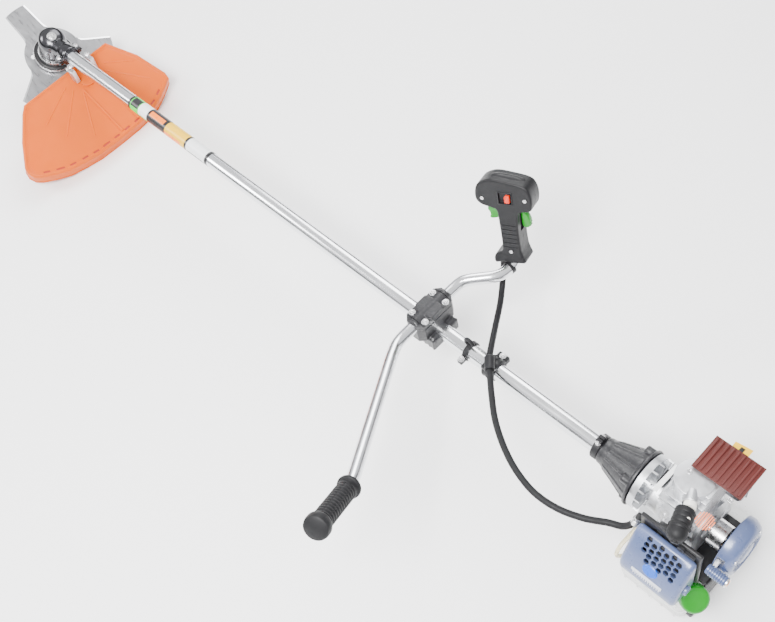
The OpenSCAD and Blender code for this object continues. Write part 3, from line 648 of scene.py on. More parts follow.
def guard():
    base = refine(outline(), 14)
    top = inside(base, 3.2)
    deep = inside(base, 2.4)
    deep_top = inside(base, 5.4)
    n = len(base)
    rings = [(base, -30), (base, -4.2), (inside(base, 0.5), -2.3), (inside(base, 1.6), -0.8), (top, 0),
             (inside(base, 9), 0), (inside(base, 10.6), -1.1), (inside(base, 12), -1.1)]
    under = [(inside(base, 12), -3.3), (inside(base, 8), -2.9), (deep_top, -2.6), (inside(base, 3.2), -3.8),
             (deep, -5.6), (deep, -30)]
    verts, faces = [], []
    for ring, z in rings + under:
        verts += [(x, y, z) for x, y in ring]
    k = len(rings)
    for j in list(range(k - 1)) + list(range(k, k + len(under) - 1)):
        faces += [(j * n + i, j * n + (i + 1) % n, (j + 1) * n + (i + 1) % n, (j + 1) * n + i)
                  for i in range(n)]
    faces.append(tuple((k - 1) * n + i for i in range(n)))
    faces.append(tuple(k * n + i for i in reversed(range(n))))
    last = k + len(under) - 1
    faces += [(i, (i + 1) % n, last * n + (i + 1) % n, last * n + i) for i in range(n)]
    o = raw("guard", verts, faces)
    at(o, GUARD)
    slots = []
    path = [Vector((x, y, 0)) for x, y in inside(refine(outline(), 3), 9.5)]
    back = [p for p in path if p.x < -118 and -112 < p.y < 214]
    back.sort(key=lambda p: p.y)
    dist = 0
    marks = []
    for a, b in zip(back, back[1:]):
        dist += (b - a).length
        if dist > 25:
            dist = 0
            marks.append((b, (b - a).normalized()))
    # thin dark plates at the bottom of each slot: painted shade in the recesses
    slot_floor_shades = []
    for i, (p, d) in enumerate(marks):
        m = GUARD @ Matrix.Translation(p) @ Matrix.Rotation(math.atan2(d.y, d.x), 4, "Z")
        long = 9 if i % 4 == 2 else 7
        slots.append(box("slot", (-long, -2.3, -2.2), (long, 2.3, 4), 0.8, 2, m))
        slot_floor_shades.append(box("mark", (-long, -2.3, -2.6), (long, 2.3, -1.9), 0, 1, m))
    cut(o, slots)
    parts = [o]
    for a, length in ((115, 92), (132, 106), (152, 106), (219, 96), (236, 62)):
        m = rot(a, "Z")
        parts.append(sweep("rib", [m @ Vector((56 + length * t / 8, 0, -2.2)) for t in range(9)], 2.0, 12))
    for y in (-18, 26):
        parts.append(sweep("rib", [(-52 - 118 * t / 6, y, -1.2) for t in range(7)], 3.0, 16))
    lip = [(x, y, -1.6) for x, y in inside(base, 4.5)]
    ring_path = lip[:] + [lip[0]]
    parts.append(sweep("lip", ring_path, 3.1, 14))
    low = [(x, y, -28.6) for x, y in base]
    parts.append(sweep("foot", low + [low[0]], 1.5, 10))
    pad = prism("pad", arc(19, 90, 270, 16) + [(3, -19), (3, 19)], -2.4, 3.0)
    bevel(pad, 1.2, 3)
    at(pad, move(-34, 4, 0))
    parts.append(pad)
    for p in parts[1:]:
        at(p, GUARD)
    join(parts)
    done(o, "machine", M["guard_plastic"], ["guard"], sharp=40)
    # the slot floors in the darker guard plastic: painted shade
    done(join(slot_floor_shades), "machine", M["guard_slot_shade"])


guard()


def bracket():
    band = lathe("band", ringp(18, 14.05, -13, 13, 1.4), move(1359, 0, 0) @ ALONG_X, 64)
    parts = [band]
    for s in (-1, 1):
        parts.append(lathe("ear", pill(9, -7.5, 5, 1.6, 4), move(1359, 21 * s, 0), 40))
        parts.append(box("web", (1349, min(10 * s, 24 * s), -7), (1369, max(10 * s, 24 * s), 4.6), 1.4, 3))
        parts.append(box("leg", (1350, min(19 * s, 28.6 * s), -33.5), (1368, max(19 * s, 28.6 * s), -4), 1.6,
                         3))
    o = join(parts)
    blocker = lathe("bore", pill(14.05, -40, 40, 0.1), move(1359, 0, 0) @ ALONG_X, 64)
    under = box("under", (-80, -60, -40), (100, 120, 0.2), 0, 1, GUARD)
    cut(o, blocker)
    cut(o, under)
    done(o, "machine", M["alloy"], ["guard_bracket"], sharp=40)


bracket()


# ---------- shaft ----------
def shaft():
    o = lathe("tube", ringp(14, 12.5, -24, 1420, 0.3), ALONG_X, 96)
    done(o, "machine", M["tube_chrome"], ["shaft_tube"])

    def band(name, x0, x1, a0, a1, mat, lift=0.12):
        prof = [(14.02, x0), (14 + lift, x0 + 0.1), (14 + lift, x1 - 0.1), (14.02, x1)]
        b = lathe(name, prof, ALONG_X @ rot(a0, "Z"), 40, a1 - a0)
        done(b, "machine", M[mat])

    band("decal_green", 1104, 1163, 0, 360, "mark_green")
    band("decal_green_edge", 1159, 1165, 0, 360, "mark_black", 0.16)
    band("decal_white_a", 1104, 1132, 95, 240, "mark_white", 0.16)
    band("decal_grey", 1134, 1157, 130, 215, "mark_black", 0.17)
    band("decal_black", 1046, 1104, 90, 265, "mark_black")
    band("decal_rust", 1054, 1098, 150, 195, "mark_orange", 0.17)
    band("decal_orange_low", 1046, 1104, 265, 450, "mark_orange")
    band("decal_yellow", 984, 1046, 0, 360, "mark_yellow")
    band("decal_orange", 996, 1046, 40, 120, "mark_orange", 0.16)
    band("decal_panel", 916, 984, 0, 360, "mark_white")
    band("decal_panel_low", 924, 976, -20, 95, "mark_black", 0.16)
    band("decal_end_a", 978, 984, 0, 360, "mark_black", 0.17)
    band("decal_end_b", 914, 922, 0, 360, "mark_black", 0.17)


shaft()


# ---------- handle ----------
BAR_TOP = move(345, 0, 34) @ rot(90, "X")     # middle of the bar in its clamp, height along -Y
BAR = [(310.7, -166.8, 79.6), (301, -158, 44), (299, -144, 36), (302, -116, 37), (341, -76, 37),
       (345, -62, 34), (345, 74, 34),
       (331, 98, 42), (202, 297, 94), (166, 370, 156)]


def handlebar():
    path = rounded(BAR, 17, 8)
    o = sweep("bar", path, 10, 40)
    done(o, "handlebar_group", M["tube_chrome"], ["handlebar"], sharp=50)
    a, d = Vector(BAR[8]), (Vector(BAR[9]) - Vector(BAR[8])).normalized()
    prof = [(10.05, 6), (15, 6), (17.6, 6.8), (18, 8.6), (17.4, 11), (15.4, 12.4), (14.6, 15)]
    for i in range(13):
        h = 19 + 6.6 * i
        prof += [(14.3, h), (14.9, h + 1), (15.1, h + 2.6), (14.9, h + 4.2), (14.3, h + 5.2)]
    prof += [(14.8, 104.5), (17.6, 106.2), (18.9, 109.5), (19, 116), (18, 120), (15, 122), (0, 122), (0, 106),
             (10.05, 106), (10.05, 6)]
    g = lathe("left_grip", prof, toward(a, d), 64)
    grooves = []
    for k in range(8):
        m = toward(a, d) @ rot(45 * k, "Z")
        grooves.append(box("groove", (14.2, -0.9, 22), (16, 0.9, 100), 0, 1, m))
    cut(g, grooves)
    done(g, "handlebar_group", M["rubber"], ["left_grip"], sharp=40)
    strap = lathe("strap", ringp(10.9, 9.95, -4, 4, 0.3), toward((300.2, -140, 36.2), (3, 28, 1)), 40)
    done(strap, "handlebar_group", M["black_plastic"])


handlebar()


def clamp():
    outline_cap = [(-19, -31), (-10, -40), (10, -40), (19, -31), (19, 31), (10, 40), (-10, 40), (-19, 31)]
    cap = prism("cap", outline_cap, 34.5, 45.2, move(345, 0, 0))
    ridge = prism("ridge", [(-19, -11), (-13.5, -15), (13.5, -15), (19, -11), (19, 11), (13.5, 15),
                            (-13.5, 15), (-19, 11)], 40, 48.6,
                  move(345, 0, 0))
    barrel = lathe("barrel", pill(15.2, -38, 38, 3, 4), BAR_TOP, 64)
    o = join([cap, ridge, barrel])
    soften(o, 0.7, 4)
    cut(o, box("below", (300, -60, 0), (400, 60, 34.5)), solver="EXACT")
    cut(o, lathe("bore", pill(10.05, -60, 60, 0.1), BAR_TOP, 64))
    seams = []
    for y in (-31.5, 31.5):
        seams.append(box("seam", (324, y - 0.8, 43.9), (366, y + 0.8, 52), 0))
    cut(o, seams)
    done(o, "machine", M["cast_dark"], ["clamp_cap"], sharp=42)
    up = prism("up", outline_cap, 4, 33.5, move(345, 0, 0))
    low = box("low", (315, -28.8, -22), (369, 28.8, 7.8), 7, 5)
    fins = [box("fin", (316 + 9.4 * k, -29, -20), (320.5 + 9.4 * k, 29, 5), 1.4, 3) for k in range(6)]
    b = join([up, low] + fins)
    soften(b, 0.8, 4)
    cut(b, lathe("bore", pill(14, -80, 80, 0.1), move(345, 0, 0) @ ALONG_X, 80))
    cut(b, lathe("bore", pill(10.05, -60, 60, 0.1), BAR_TOP, 64))
    cut(b, box("top", (300, -60, 33.5), (400, 60, 60)))
    done(b, "machine", M["cast_dark"], ["clamp_base"], sharp=42)
    bolts = [hexbolt("b", (345 + x, y, 45.2), (0, 0, 1), 4.2, 4) for x in (-14.2, 14.2)
             for y in (-23.5, 23.5)]
    bolts += [hexbolt("b", (214, -22, 7), (0, 0, 1), 4, 4), hexbolt("b", (262, 22, 4), (0, 0, 1), 4, 4)]
    done(join(bolts), "machine", M["steel"], ["clamp_bolts"])


clamp()


def throttle_grip():
    shape = [(-21, 1), (-19, 14), (-16.5, 26), (-15.6, 58), (-17, 86), (-22, 95), (-38, 99), (-42, 108),
             (-42.5, 122), (-38, 136), (-28, 143),
             (-6, 147), (20, 149.5), (36, 145), (46, 137), (50, 124), (49, 111), (40, 103), (24, 99),
             (17, 95), (15.4, 78), (14.4, 40), (16, 22),
             (27, 14), (31, 6), (29, -3), (16, 0), (4, -1)]
    pts = [Vector((x, z, 0)) for x, z in shape]
    loop = [(v.x, v.y) for v in catmull([pts[-1]] + pts + [pts[0]], 4)[4:-1]]
    body = prism("body", loop, -17.6, 17.6)
    bevel(body, 6.5, 5, 50)
    at(body, XZ)
    crown = sweep("crown", catmull([(-34, 0, 128), (-20, 0, 136), (0, 0, 139.5), (22, 0, 140), (40, 0, 128)],
                                   6), 0, 32,
                  radii=[8 + 3 * math.sin(math.pi * i / 24) for i in range(25)])
    o = join([body, crown])
    soften(o, 0.85, 8)
    tools = [lathe("bar", pill(10, -4, 22, 0.1), ID, 48),
             lathe("cab", pill(5.3, -12, 5, 0.1), move(24, 0, 0), 32),
             box("trig", (10, -6, 72), (40, 6, 108), 1.5, 2),
             box("lock", (-24.6, -6, 55), (-11, 6, 98), 1.5, 2),
             box("switch", (-11, 13, 109), (11, 20, 129), 1.5, 2)]
    cut(o, tools)
    ridge = []
    for i in range(6):
        ridge.append(box("line", (-12.6, -21, 30 + 8 * i), (12.2, -16.9, 31.6 + 8 * i), 0))
    for i in range(6):
        ridge.append(box("line", (-12.6, 16.9, 30 + 8 * i), (12.2, 21, 31.6 + 8 * i), 0))
    cut(o, ridge)
    right = raw("right", [v.co for v in o.data.vertices], [list(p.vertices) for p in o.data.polygons])
    cut(o, box("half", (-60, -40, -20), (70, 0.12, 170)))
    cut(right, box("half", (-60, -0.12, -20), (70, 40, 170)))
    for h, node in ((o, "throttle_shell_left"), (right, "throttle_shell_right")):
        at(h, GRIP)
        done(h, "handlebar_group", M["black_plastic"], [node], sharp=42)
    dark = box("inside", (-12, -11, 20), (12, 11, 140), 3, 3, GRIP)
    done(dark, "handlebar_group", M["shadow"])
    screws = [socket("s", GRIP @ Vector((x, 17.2, z)), GRIP.to_3x3() @ Vector((0, 1, 0)), 3, 1.6)
              for x, z in ((0, 22), (-32, 118), (38, 116))]
    done(join(screws), "handlebar_group", M["steel"], ["grip_screws"])
    trig = [(17, 103.5), (23, 105.5), (28, 104), (33, 99), (36, 94), (37, 88), (34.5, 84), (33.5, 79),
            (35, 74), (31, 72.5), (24, 74), (18, 76)]
    t = prism("trigger", [(v.x, v.y) for v in catmull([Vector((x, z, 0)) for x, z in trig], 3)], -5.2, 5.2)
    bevel(t, 1.6, 3)
    at(t, XZ)
    pin = lathe("pin", pill(2, -5.6, 5.6, 0.4), move(23, 0, 100) @ rot(90, "X"), 24)
    done(at(join([t, pin]), GRIP), "trigger_body", M["green_plastic"], ["throttle_trigger"])
    lock = [(-18, 96), (-17.5, 88), (-18, 80), (-18.5, 67), (-22, 63), (-27, 62.5), (-30.5, 66), (-31.5, 74),
            (-29.5, 82), (-25.5, 88), (-22.5, 96)]
    k = prism("lock", [(v.x, v.y) for v in catmull([Vector((x, z, 0)) for x, z in lock], 3)], -5.2, 5.2)
    bevel(k, 1.6, 3)
    at(k, XZ)
    ribs = [sweep("rib", [(-31.2 + 0.5 * abs(i - 1), -4, 66 + 5 * i),
                          (-31.2 + 0.5 * abs(i - 1), 4, 66 + 5 * i)], 0.9, 10) for i in range(3)]
    done(at(join([k] + ribs), GRIP), "lockout_body", M["green_plastic"], ["trigger_lockout"])
    s = box("switch", (-8.5, 15.7, 112.5), (-1, 21.4, 125.5), 1.2, 3)
    teeth = [box("tooth", (-7.9 + 2.1 * i, 21, 113.6), (-6.9 + 2.1 * i, 22, 124.4), 0.3, 2) for i in range(4)]
    done(at(join([s] + teeth), GRIP), "switch_body", M["red_plastic"], ["stop_switch"])
    frame_ = box("bezel", (-12.5, 15, 107.5), (12.5, 18.6, 130.5), 1.2, 3)
    cut(frame_, box("hole", (-10.6, 10, 109.6), (10.6, 25, 128.4), 0.8, 2))
    done(at(frame_, GRIP), "handlebar_group", M["black_plastic"])


throttle_grip()


# ---------- throttle cable, clip, hanger ----------
CABLE = [(323.5, -149.6, 42), (319.5, -145.5, 24), (306, -126, 9), (285, -96, 3), (262, -60, 7),
         (240, -27, 15), (224, -4, 20), (206, 16, 21),
         (171, 50, 20), (140, 76, 20), (102, 99, 20), (66, 114, 20), (28, 122, 20), (-10, 119, 19),
         (-46, 106, 17), (-74, 89, 15),
         (-94, 80, 18), (-106, 71, 36), (-111, 63, 62)]


def cable():
    o = sweep("throttle_cable", catmull(CABLE, 10), 5, 24)
    done(o, "machine", M["rubber"], ["throttle_cable"])
    o.parent = None
    del o["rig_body"]
    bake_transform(o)
    end = lathe("ferrule", [(5.2, -4), (7.2, -3), (7.2, 8), (6.4, 10), (6.4, 12), (5.1, 13), (5.1, -4)],
                toward(CABLE[0], Vector(CABLE[1]) - Vector(CABLE[0])), 32)
    done(end, "handlebar_group", M["black_plastic"])
    nut = join([prism("adjust", hexagon(5.6), 0, 5, toward((-107.6, 68.6, 45), (-3, -6, 24))),
                lathe("sleeve", ringp(6.3, 5, -12, 0, 0.6), toward((-107.6, 68.6, 45), (-3, -6, 24)), 32)])
    done(nut, "machine", M["steel"])


cable()


def clip():
    def bore():
        return lathe("bore", pill(14.05, -400, 400, 0.1), ALONG_X, 80)

    d = Vector((-18, 20, 1)).normalized()
    m = toward((215, 6, 20.6), d)

    def way():
        return lathe("way", pill(5.7, -40, 40, 0.1), m, 32)

    parts = [lathe("band", ringp(18.2, 14.05, -11, 11, 1.2), move(214, 0, 0) @ ALONG_X, 64),
             lathe("seat", ringp(8.4, 5.7, -12, 12, 1.0), m, 40)]
    for x in (-7.5, 0, 7.5):
        parts.append(lathe("rib", ringp(19, 15, -1, 1, 0.4), move(214 + x, 0, 0) @ ALONG_X, 64))
    ear = cut(box("ear", (204, -27, -5), (224, -13, 6.9), 1.8, 4), bore())
    foot = cut(cut(box("foot", (204, -7, 10), (225, 17, 17.6), 2, 3), bore()), way())
    done(join(parts + [ear, foot]), "machine", M["black_plastic"], ["cable_clip"], sharp=40)
    ring = lathe("band", ringp(16.6, 14.05, -4.6, 4.6, 0.8), move(262, 0, 0) @ ALONG_X, 64)
    ear = cut(box("ear", (257.4, 12, -5), (266.6, 27, 4), 1.6, 3), bore())
    eye = lathe("eye", ringp(9.6, 6, -2.8, 2.8, 1.1), move(262, 0, 25) @ rot(90, "X"), 48)
    web = cut(cut(box("web", (257, -2.7, 13), (267, 2.7, 19.4), 0.9, 2), bore()),
              lathe("hole", pill(6, -8, 8, 0.1), move(262, 0, 25) @ rot(90, "X"), 48))
    done(join([ring, ear, eye, web]), "machine", M["black_plastic"], ["harness_hanger"], sharp=40)


clip()


# ---------- engine ----------
def clutch_cone():
    prof = [(14.05, -26), (36, -67.9), (46, -67.9), (46, -64.4), (45.2, -63.4), (41.2, -62.8), (40, -61),
            (38.6, -56), (33.4, -42), (27.4, -24),
            (23.6, -11), (21.6, -6), (21.2, -2), (20.8, 0.6), (19.6, 2), (14.05, 2), (14.05, -26)]
    o = lathe("cone", prof, ALONG_X, 96)
    parts = [o]
    for k in range(12):
        m = rot(30 * k + 15, "X")
        parts.append(prism("fin", [(-62, 37), (-62, 42.4), (-52, 38.8), (-30, 30.8), (-12, 25), (-12, 22)],
                           -0.9, 0.9, m @ XZ))
    pockets, screws = [], []
    for a in (45, 135, 225, 315):
        m = rot(a, "X") @ move(0, 0, 38.8) @ ALONG_X
        parts.append(lathe("boss", pill(7, -67.5, -50, 2, 4), m, 32))
        pockets.append(lathe("pocket", pill(4.6, -57, -40, 0.2), m, 32))
        screws.append(lathe("screw", pill(4, -60, -54.4, 1.2, 3), m, 24))
    join(parts)
    soften(o, 0.8, 5)
    cut(o, pockets)
    done(o, "machine", M["cast_dark"], ["clutch_housing"], sharp=45)
    for a in (40, 140, 220, 320):
        p = (-233, 36 * cosd(a), 36 * sind(a))
        screws.append(socket("s", p, (-1, 0, 0), 2.8, 1.8))
    for x in (-198, -138):
        screws.append(socket("s", (x, 8, 138.6), (0, 0, 1), 4, 2.2))
    done(join(screws), "machine", M["steel"], ["engine_screws"])
    slit = box("slit", (1, -0.8, 12), (16, 0.8, 30))
    c = cut(lathe("collar", ringp(20, 14.05, 2.4, 14, 1.3), ALONG_X, 64),
            box("slit", (1, -0.8, 12), (16, 0.8, 30)))
    lug = box("lug", (3, -6.4, 17), (13.4, 6.4, 26.6), 1.5, 3)
    cut(lug, [slit, lathe("bore", pill(16, -6, 30, 0.1), ALONG_X, 64)])
    done(join([c, lug]), "machine", M["black_plastic"], ["shaft_collar"])
    b = join([hexbolt("b", (8.4, 6, 21.4), (0, 1, 0.15), 3.6, 3),
              hexbolt("b", (8.2, -6.2, 21.4), (0, -1, 0.15), 3.6, 3)])
    done(b, "machine", M["steel"])


clutch_cone()

COVER = [(-58, -54), (58, -54), (62, -30), (64, 20), (64, 66), (61, 98), (54, 120), (40, 133), (20, 139),
         (-10, 140.5), (-36, 137.5),
         (-56, 130.5), (-69, 121), (-78, 109), (-84.5, 94), (-87, 74), (-87, 8), (-82, -10), (-74, -26)]


def smooth_loop(poly, n):
    pts = [Vector((a, b, 0)) for a, b in poly]
    c = catmull([pts[-1]] + pts + [pts[0], pts[1]], n)
    return [(v.x, v.y) for v in c[n:-2 * n - 1 + n]]


def skin(name, rings):
    """A closed skin through rings that all have as many points."""
    n = len(rings[0])
    faces = [tuple(range(n)), tuple((len(rings) - 1) * n + i for i in range(n))]
    for j in range(len(rings) - 1):
        faces += [(j * n + i, j * n + (i + 1) % n, (j + 1) * n + (i + 1) % n, (j + 1) * n + i)
                  for i in range(n)]
    return raw(name, [v for ring in rings for v in ring], faces)


def ease(v, lo, hi):
    t = min(max((v - lo) / (hi - lo), 0), 1)
    return t * t * (3 - 2 * t)


def inward(ring, t):
    """The same ring drawn in by t across its own plane."""
    out = []
    for i, p in enumerate(ring):
        d = ring[(i + 1) % len(ring)] - ring[i - 1]
        out.append(p - Vector((0, d.z, -d.y)).normalized() * t)
    return out


def cover_ring(x):
    """Outline of the cover at x: full section behind, circle round the shaft in front, steeper over the muffler."""
    out = []
    for y, z in smooth_loop(COVER, 4):
        r = 47 + 15.5 * min((-68.5 - x) / 38, 1)
        left = ease(y, -48, -8)
        steep = ease(x, -126 - 8 * ease(-y, 54, 88), -108 - 8 * ease(-y, 54, 88))
        slow = 0.5 * ease(x, -150, -104) + 0.5 * ease(x, -116, -72)
        t = steep * (1 - left) + slow * left
        a = math.atan2(z, y)
        k = 0.9 + 0.1 * ease(x, -213, -190)
        y, z = (y + 8) * k - 8, (z - 40) * k + 40
        out.append(Vector((x, y * (1 - t) + r * math.cos(a) * t, z * (1 - t) + r * math.sin(a) * t)))
    return out


def engine_cover():
    stops = [-210, -208.4, -206, -203, -190, -170, -156] + [-150 + 2.5 * i
        for i in range(30)] + [-72, -69.6, -68.5]
    o = skin("cover", [cover_ring(x) for x in stops])
    hollow = [inward(cover_ring(x), 3.3) for x in stops if -206.5 < x < -69]
    hollow.append([v + Vector((8, 0, 0)) for v in inward(cover_ring(-69.6), 3.3)])
    parts = [o, box("lobe", (-206, 50, -20), (-170, 69, 84), 9, 5),
             box("lobe", (-128, 38, -33), (-92, 68, 40), 13, 6),
             box("skirt", (-206, 38, 20), (-112, 66.4, 70), 8, 4)]
    for p in parts:
        for t in (skin("hollow", hollow), box("under", (-230, -120, -140), (-50, 120, -54)),
                  box("under", (-208.5, -72, -60), (-60, 72, -33.6)),
                  box("throat", (-168, 57, -20), (-116, 92, 74), 6, 3),
                  box("back", (-214, -57, -40), (-203, 57, 57), 2, 2),
                  box("filler", (-214, 52, -60), (-184, 80, -15), 3, 2),
                  lathe("pocket", pill(17.5, 18, 80, 5, 4), toward(PLUG + Vector((3, 8, -8)), PLUG_D), 48)):
            cut(p, t)
    join(parts)
    # Open fault: after the 1.0 remesh, cutting the holes leaves 8 vertices, so the cover is missing. After 1.25 it holds.
    soften(o, 1.0, 8)
    holes = []
    for i in range(6):
        for j in range(4):
            x, y = -138.5 - 11.2 * i, -50 + 11 * j + (5.5 if i % 2 else 0)
            holes.append(prism("hex", hexagon(5), 88, 150, move(x, y, 0) @ rot(4, "X")))
    for k in range(7):
        holes.append(box("louvre", (-190, -96, 8 + 12 * k), (-134, -80, 12.6 + 12 * k), 1.2, 2))
    for k in range(5):
        holes.append(box("vent", (-214, -80, 16 + 13 * k), (-200, -61, 22 + 13 * k), 1.2, 2))
    cut(o, holes)
    done(o, "machine", M["orange_plastic"], ["engine_cover"], sharp=38)
    # ribbed near-black sheet under the grille holes: painted shade inside the cover
    shade_plate = box("grille_shade_sheet", (-204, -64, 118.4), (-130, -8, 120), 0.5, 2)
    for k in range(9):
        join([shade_plate, box("rib", (-200 + 8 * k, -62, 119.5), (-197 + 8 * k, -10, 122.4), 0.8, 2)])
    done(shade_plate, "machine", M["cover_inside_shade"])
    return o


COVER_OBJ = engine_cover()


def surface_patch(name, corners, mat, lift=0.35):
    """A thin plate from four corners in the shaft frame, pressed onto the cover along its own normal."""
    from mathutils.bvhtree import BVHTree
    bvh = BVHTree.FromObject(COVER_OBJ, bpy.context.evaluated_depsgraph_get())
    p = [Vector(c) for c in corners]
    out = (p[1] - p[0]).cross(p[3] - p[0]).normalized()
    if out.z < 0:
        out.negate()
    n, verts, faces = 24, [], []
    for i in range(n + 1):
        for j in range(n + 1):
            u, v = i / n, j / n
            q = (p[0] * (1 - u) + p[1] * u) * (1 - v) + (p[3] * (1 - u) + p[2] * u) * v
            hit, _, _, dist = bvh.ray_cast(TO_ROW @ (q + out * 25), -out)
            verts.append((TO_ROW.inverted() @ hit if hit and dist < 0.045 else q) + out * lift)
    for i in range(n):
        for j in range(n):
            k = i * (n + 1) + j
            faces.append((k, k + 1, k + n + 2, k + n + 1))
    o = raw(name, verts, faces)
    mod(o, "SOLIDIFY", thickness=0.3, offset=0)
    done(o, "machine", M[mat])


def decals():
    surface_patch("stripe", [(-105, 36, 84), (-111, -4, 102), (-119, 0, 112), (-114, 40, 93)], "mark_white")
    surface_patch("label", [(-153, -59, 118), (-151.5, -75, 112), (-176, -78, 112), (-177, -62, 118)],
                  "mark_yellow")
    surface_patch("label_mark", [(-162, -64, 117), (-162, -72, 114), (-168, -72, 114), (-168, -64, 117)],
                  "mark_black", 0.6)
    # thin pale strips on the flat cover: painted highlights standing in for lit louvre ridges
    for k in range(8):
        w = math.sqrt(max(1 - ((k - 3.5) / 4.2) ** 2, 0)) * 12
        cx, cy = -187 + 2.9 * (k - 3.5), 42
        surface_patch("louvre", [(cx - 0.75, cy - w, 118), (cx + 0.75, cy - w, 118), (cx + 0.75, cy + w, 118),
                                 (cx - 0.75, cy + w, 118)],
                      "orange_highlight", 0.5)


decals()


def barrel(x0=-143, fins=6, bore=44):
    """Cylinder barrel: fins shorten upwards at the front and left, where the cover slopes in."""
    parts = [lathe("barrel", ringp(27, bore / 2, 45, 97, 0.8), move(x0, 0, 0), 64),
             lathe("head", pill(27, 97.2, 115, 1), move(x0, 0, 0), 64),
             box("foot", (x0 - 28, -32, 45.2), (x0 + 28, -bore / 2 - 2, 50), 1, 2),
             box("foot", (x0 - 28, bore / 2 + 2, 45.2), (x0 + 28, 32, 50), 1, 2),
             lathe("plug_boss", ringp(11, 5, 4, 22, 0.6), toward(PLUG, PLUG_D), 32)]
    for k in range(fins):
        z = 58 + 10 * k
        rise = max(0, (z - 68) / 40)
        fin = box("fin", (x0 - 30, -34, z), (x0 + 30 - 18 * rise, 34 - 22 * rise, z + 2.5), 0.8, 2)
        parts.append(cut(fin, lathe("bore", pill(bore / 2 + 1, 40, 130, 0.5), move(x0, 0, 0), 48)))
    done(join(parts), "machine", M["alloy"], ["cylinder_barrel"])


barrel()


def muffler():
    o = box("muffler", (-191, -77, 19), (-130, -43, 90), 8, 5)
    parts = [o, box("seam", (-192, -61, 18), (-129, -58, 91), 1.2, 2),
             box("neck", (-153, -44, 62), (-133, -40.2, 82), 2, 3)]
    for x in (-180, -141):
        parts.append(hexbolt("b", (x, -52, 90), (0, 0, 1), 4.2, 0.9, False))
    for k in range(4):
        parts.append(box("bead", (-180, -78, 30 + 14 * k), (-140, -76, 34 + 14 * k), 0.9, 2))
    done(join(parts), "machine", M["iron"], ["muffler"])


muffler()


def recoil():
    prof = [(42.6, -210.3), (45, -210.3), (46, -211.4), (46, -219), (44.4, -224.6), (41.6, -229.6),
            (38, -233), (34, -234.8), (31.4, -235),
            (30, -233.8), (17, -233.8), (15, -235), (4, -235), (4, -232.2), (37, -232), (42.5, -224),
            (42.6, -210.3)]
    o = lathe("recoil", prof, ALONG_X, 120)
    post = sweep("post", [PULL + PULL_D * h for h in (20, 24, 30, 36, 41, 44.6)], 0, 32,
                 radii=[9, 9, 8.4, 7.4, 6.6, 6])
    ribs = [box("rib", (-221, 44, -1.8), (-212, 45.9, 1.8), 0.8, 2, rot(a, "X"))
            for a in range(-150, 181, 15) if not 10 < a < 70]
    cuts = [box("vent", (-242, 17.5, -2.4), (-230, 29.5, 2.4), 1.8, 3, rot(a, "X"))
            for a in range(0, 360, 20)]
    cut(o, cuts + [lathe("eyelet", pill(2.7, -10, 70, 0.1), toward(PULL, PULL_D), 24)])
    cut(post, lathe("eyelet", pill(2.7, -10, 70, 0.1), toward(PULL, PULL_D), 24))
    cut(post, lathe("inside", pill(42.6, -232, -209, 1), ALONG_X, 96))
    done(join([o, post] + ribs), "machine", M["slate_plastic"], ["recoil_housing"], sharp=36)
    for a, w in ((96, 24), (118, 9)):
        plate = lathe("plate", [(44.8, -224), (46.2, -219.6), (46.2, -213), (45.6, -212.6)],
                      ALONG_X @ rot(a, "Z"), 20, w)
        mod(plate, "SOLIDIFY", thickness=0.6, offset=0)
        done(plate, "machine", M["steel"])
    hub = lathe("hub", [(0, -235.4), (10, -235.4), (12.4, -234.8), (13, -233.4), (0, -233.4)], ALONG_X, 48)
    done(hub, "machine", M["slate_plastic"])
    brass = lathe("eyelet", ringp(6.4, 2.65, 43, 45.4, 0.9), toward(PULL, PULL_D), 32)
    done(brass, "machine", M["steel"])


recoil()


def starter():
    c = PULL + PULL_D * 56 + Vector((-2.5, 0, 0))
    prof = [(0, -12.8), (7.2, -12.8), (7.4, -12)]
    for i in range(7):
        h = -11.4 + 3.4 * i
        prof += [(6.8, h), (7.9, h + 0.6), (8, h + 1.6), (7.9, h + 2.3), (6.8, h + 2.9)]
    prof += [(7.4, 13.4), (6.8, 16), (0, 16)]
    g = lathe("grip", prof, Matrix.Translation(c) @ ALONG_X, 48)
    boss = sweep("boss", [PULL + PULL_D * (56 - h) for h in (9.4, 8.4, 6, 2)], 0, 24, radii=[3, 3.8, 5, 6.4])
    done(join([g, boss]), "pull_grip", M["slate_plastic"], ["starter_handle"], sharp=36)
    end = lathe("end", [(0, 12), (5.6, 12), (5.6, 15.2), (4.8, 16), (3, 16), (2.4, 14.8), (0, 14.8)],
                Matrix.Translation(c) @ ALONG_X @ rot(180, "Y"), 32)
    done(end, "pull_grip", M["copper"])
    cap = lathe("end_b", ringp(7.9, 5.5, -15.6, -12.6, 0.7), Matrix.Translation(c) @ ALONG_X, 32)
    done(cap, "pull_grip", M["steel"])
    path = [PULL + PULL_D * (0.5 + 48 * i / 90) for i in range(91)]
    rope = sweep("rope", path, 0, 12, radii=[1.45 + 0.14 * math.sin(i * 1.9) for i in range(91)])
    done(rope, "pull_grip", M["rope"], ["starter_rope"])
    rope.parent = None
    del rope["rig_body"]
    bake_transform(rope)


starter()


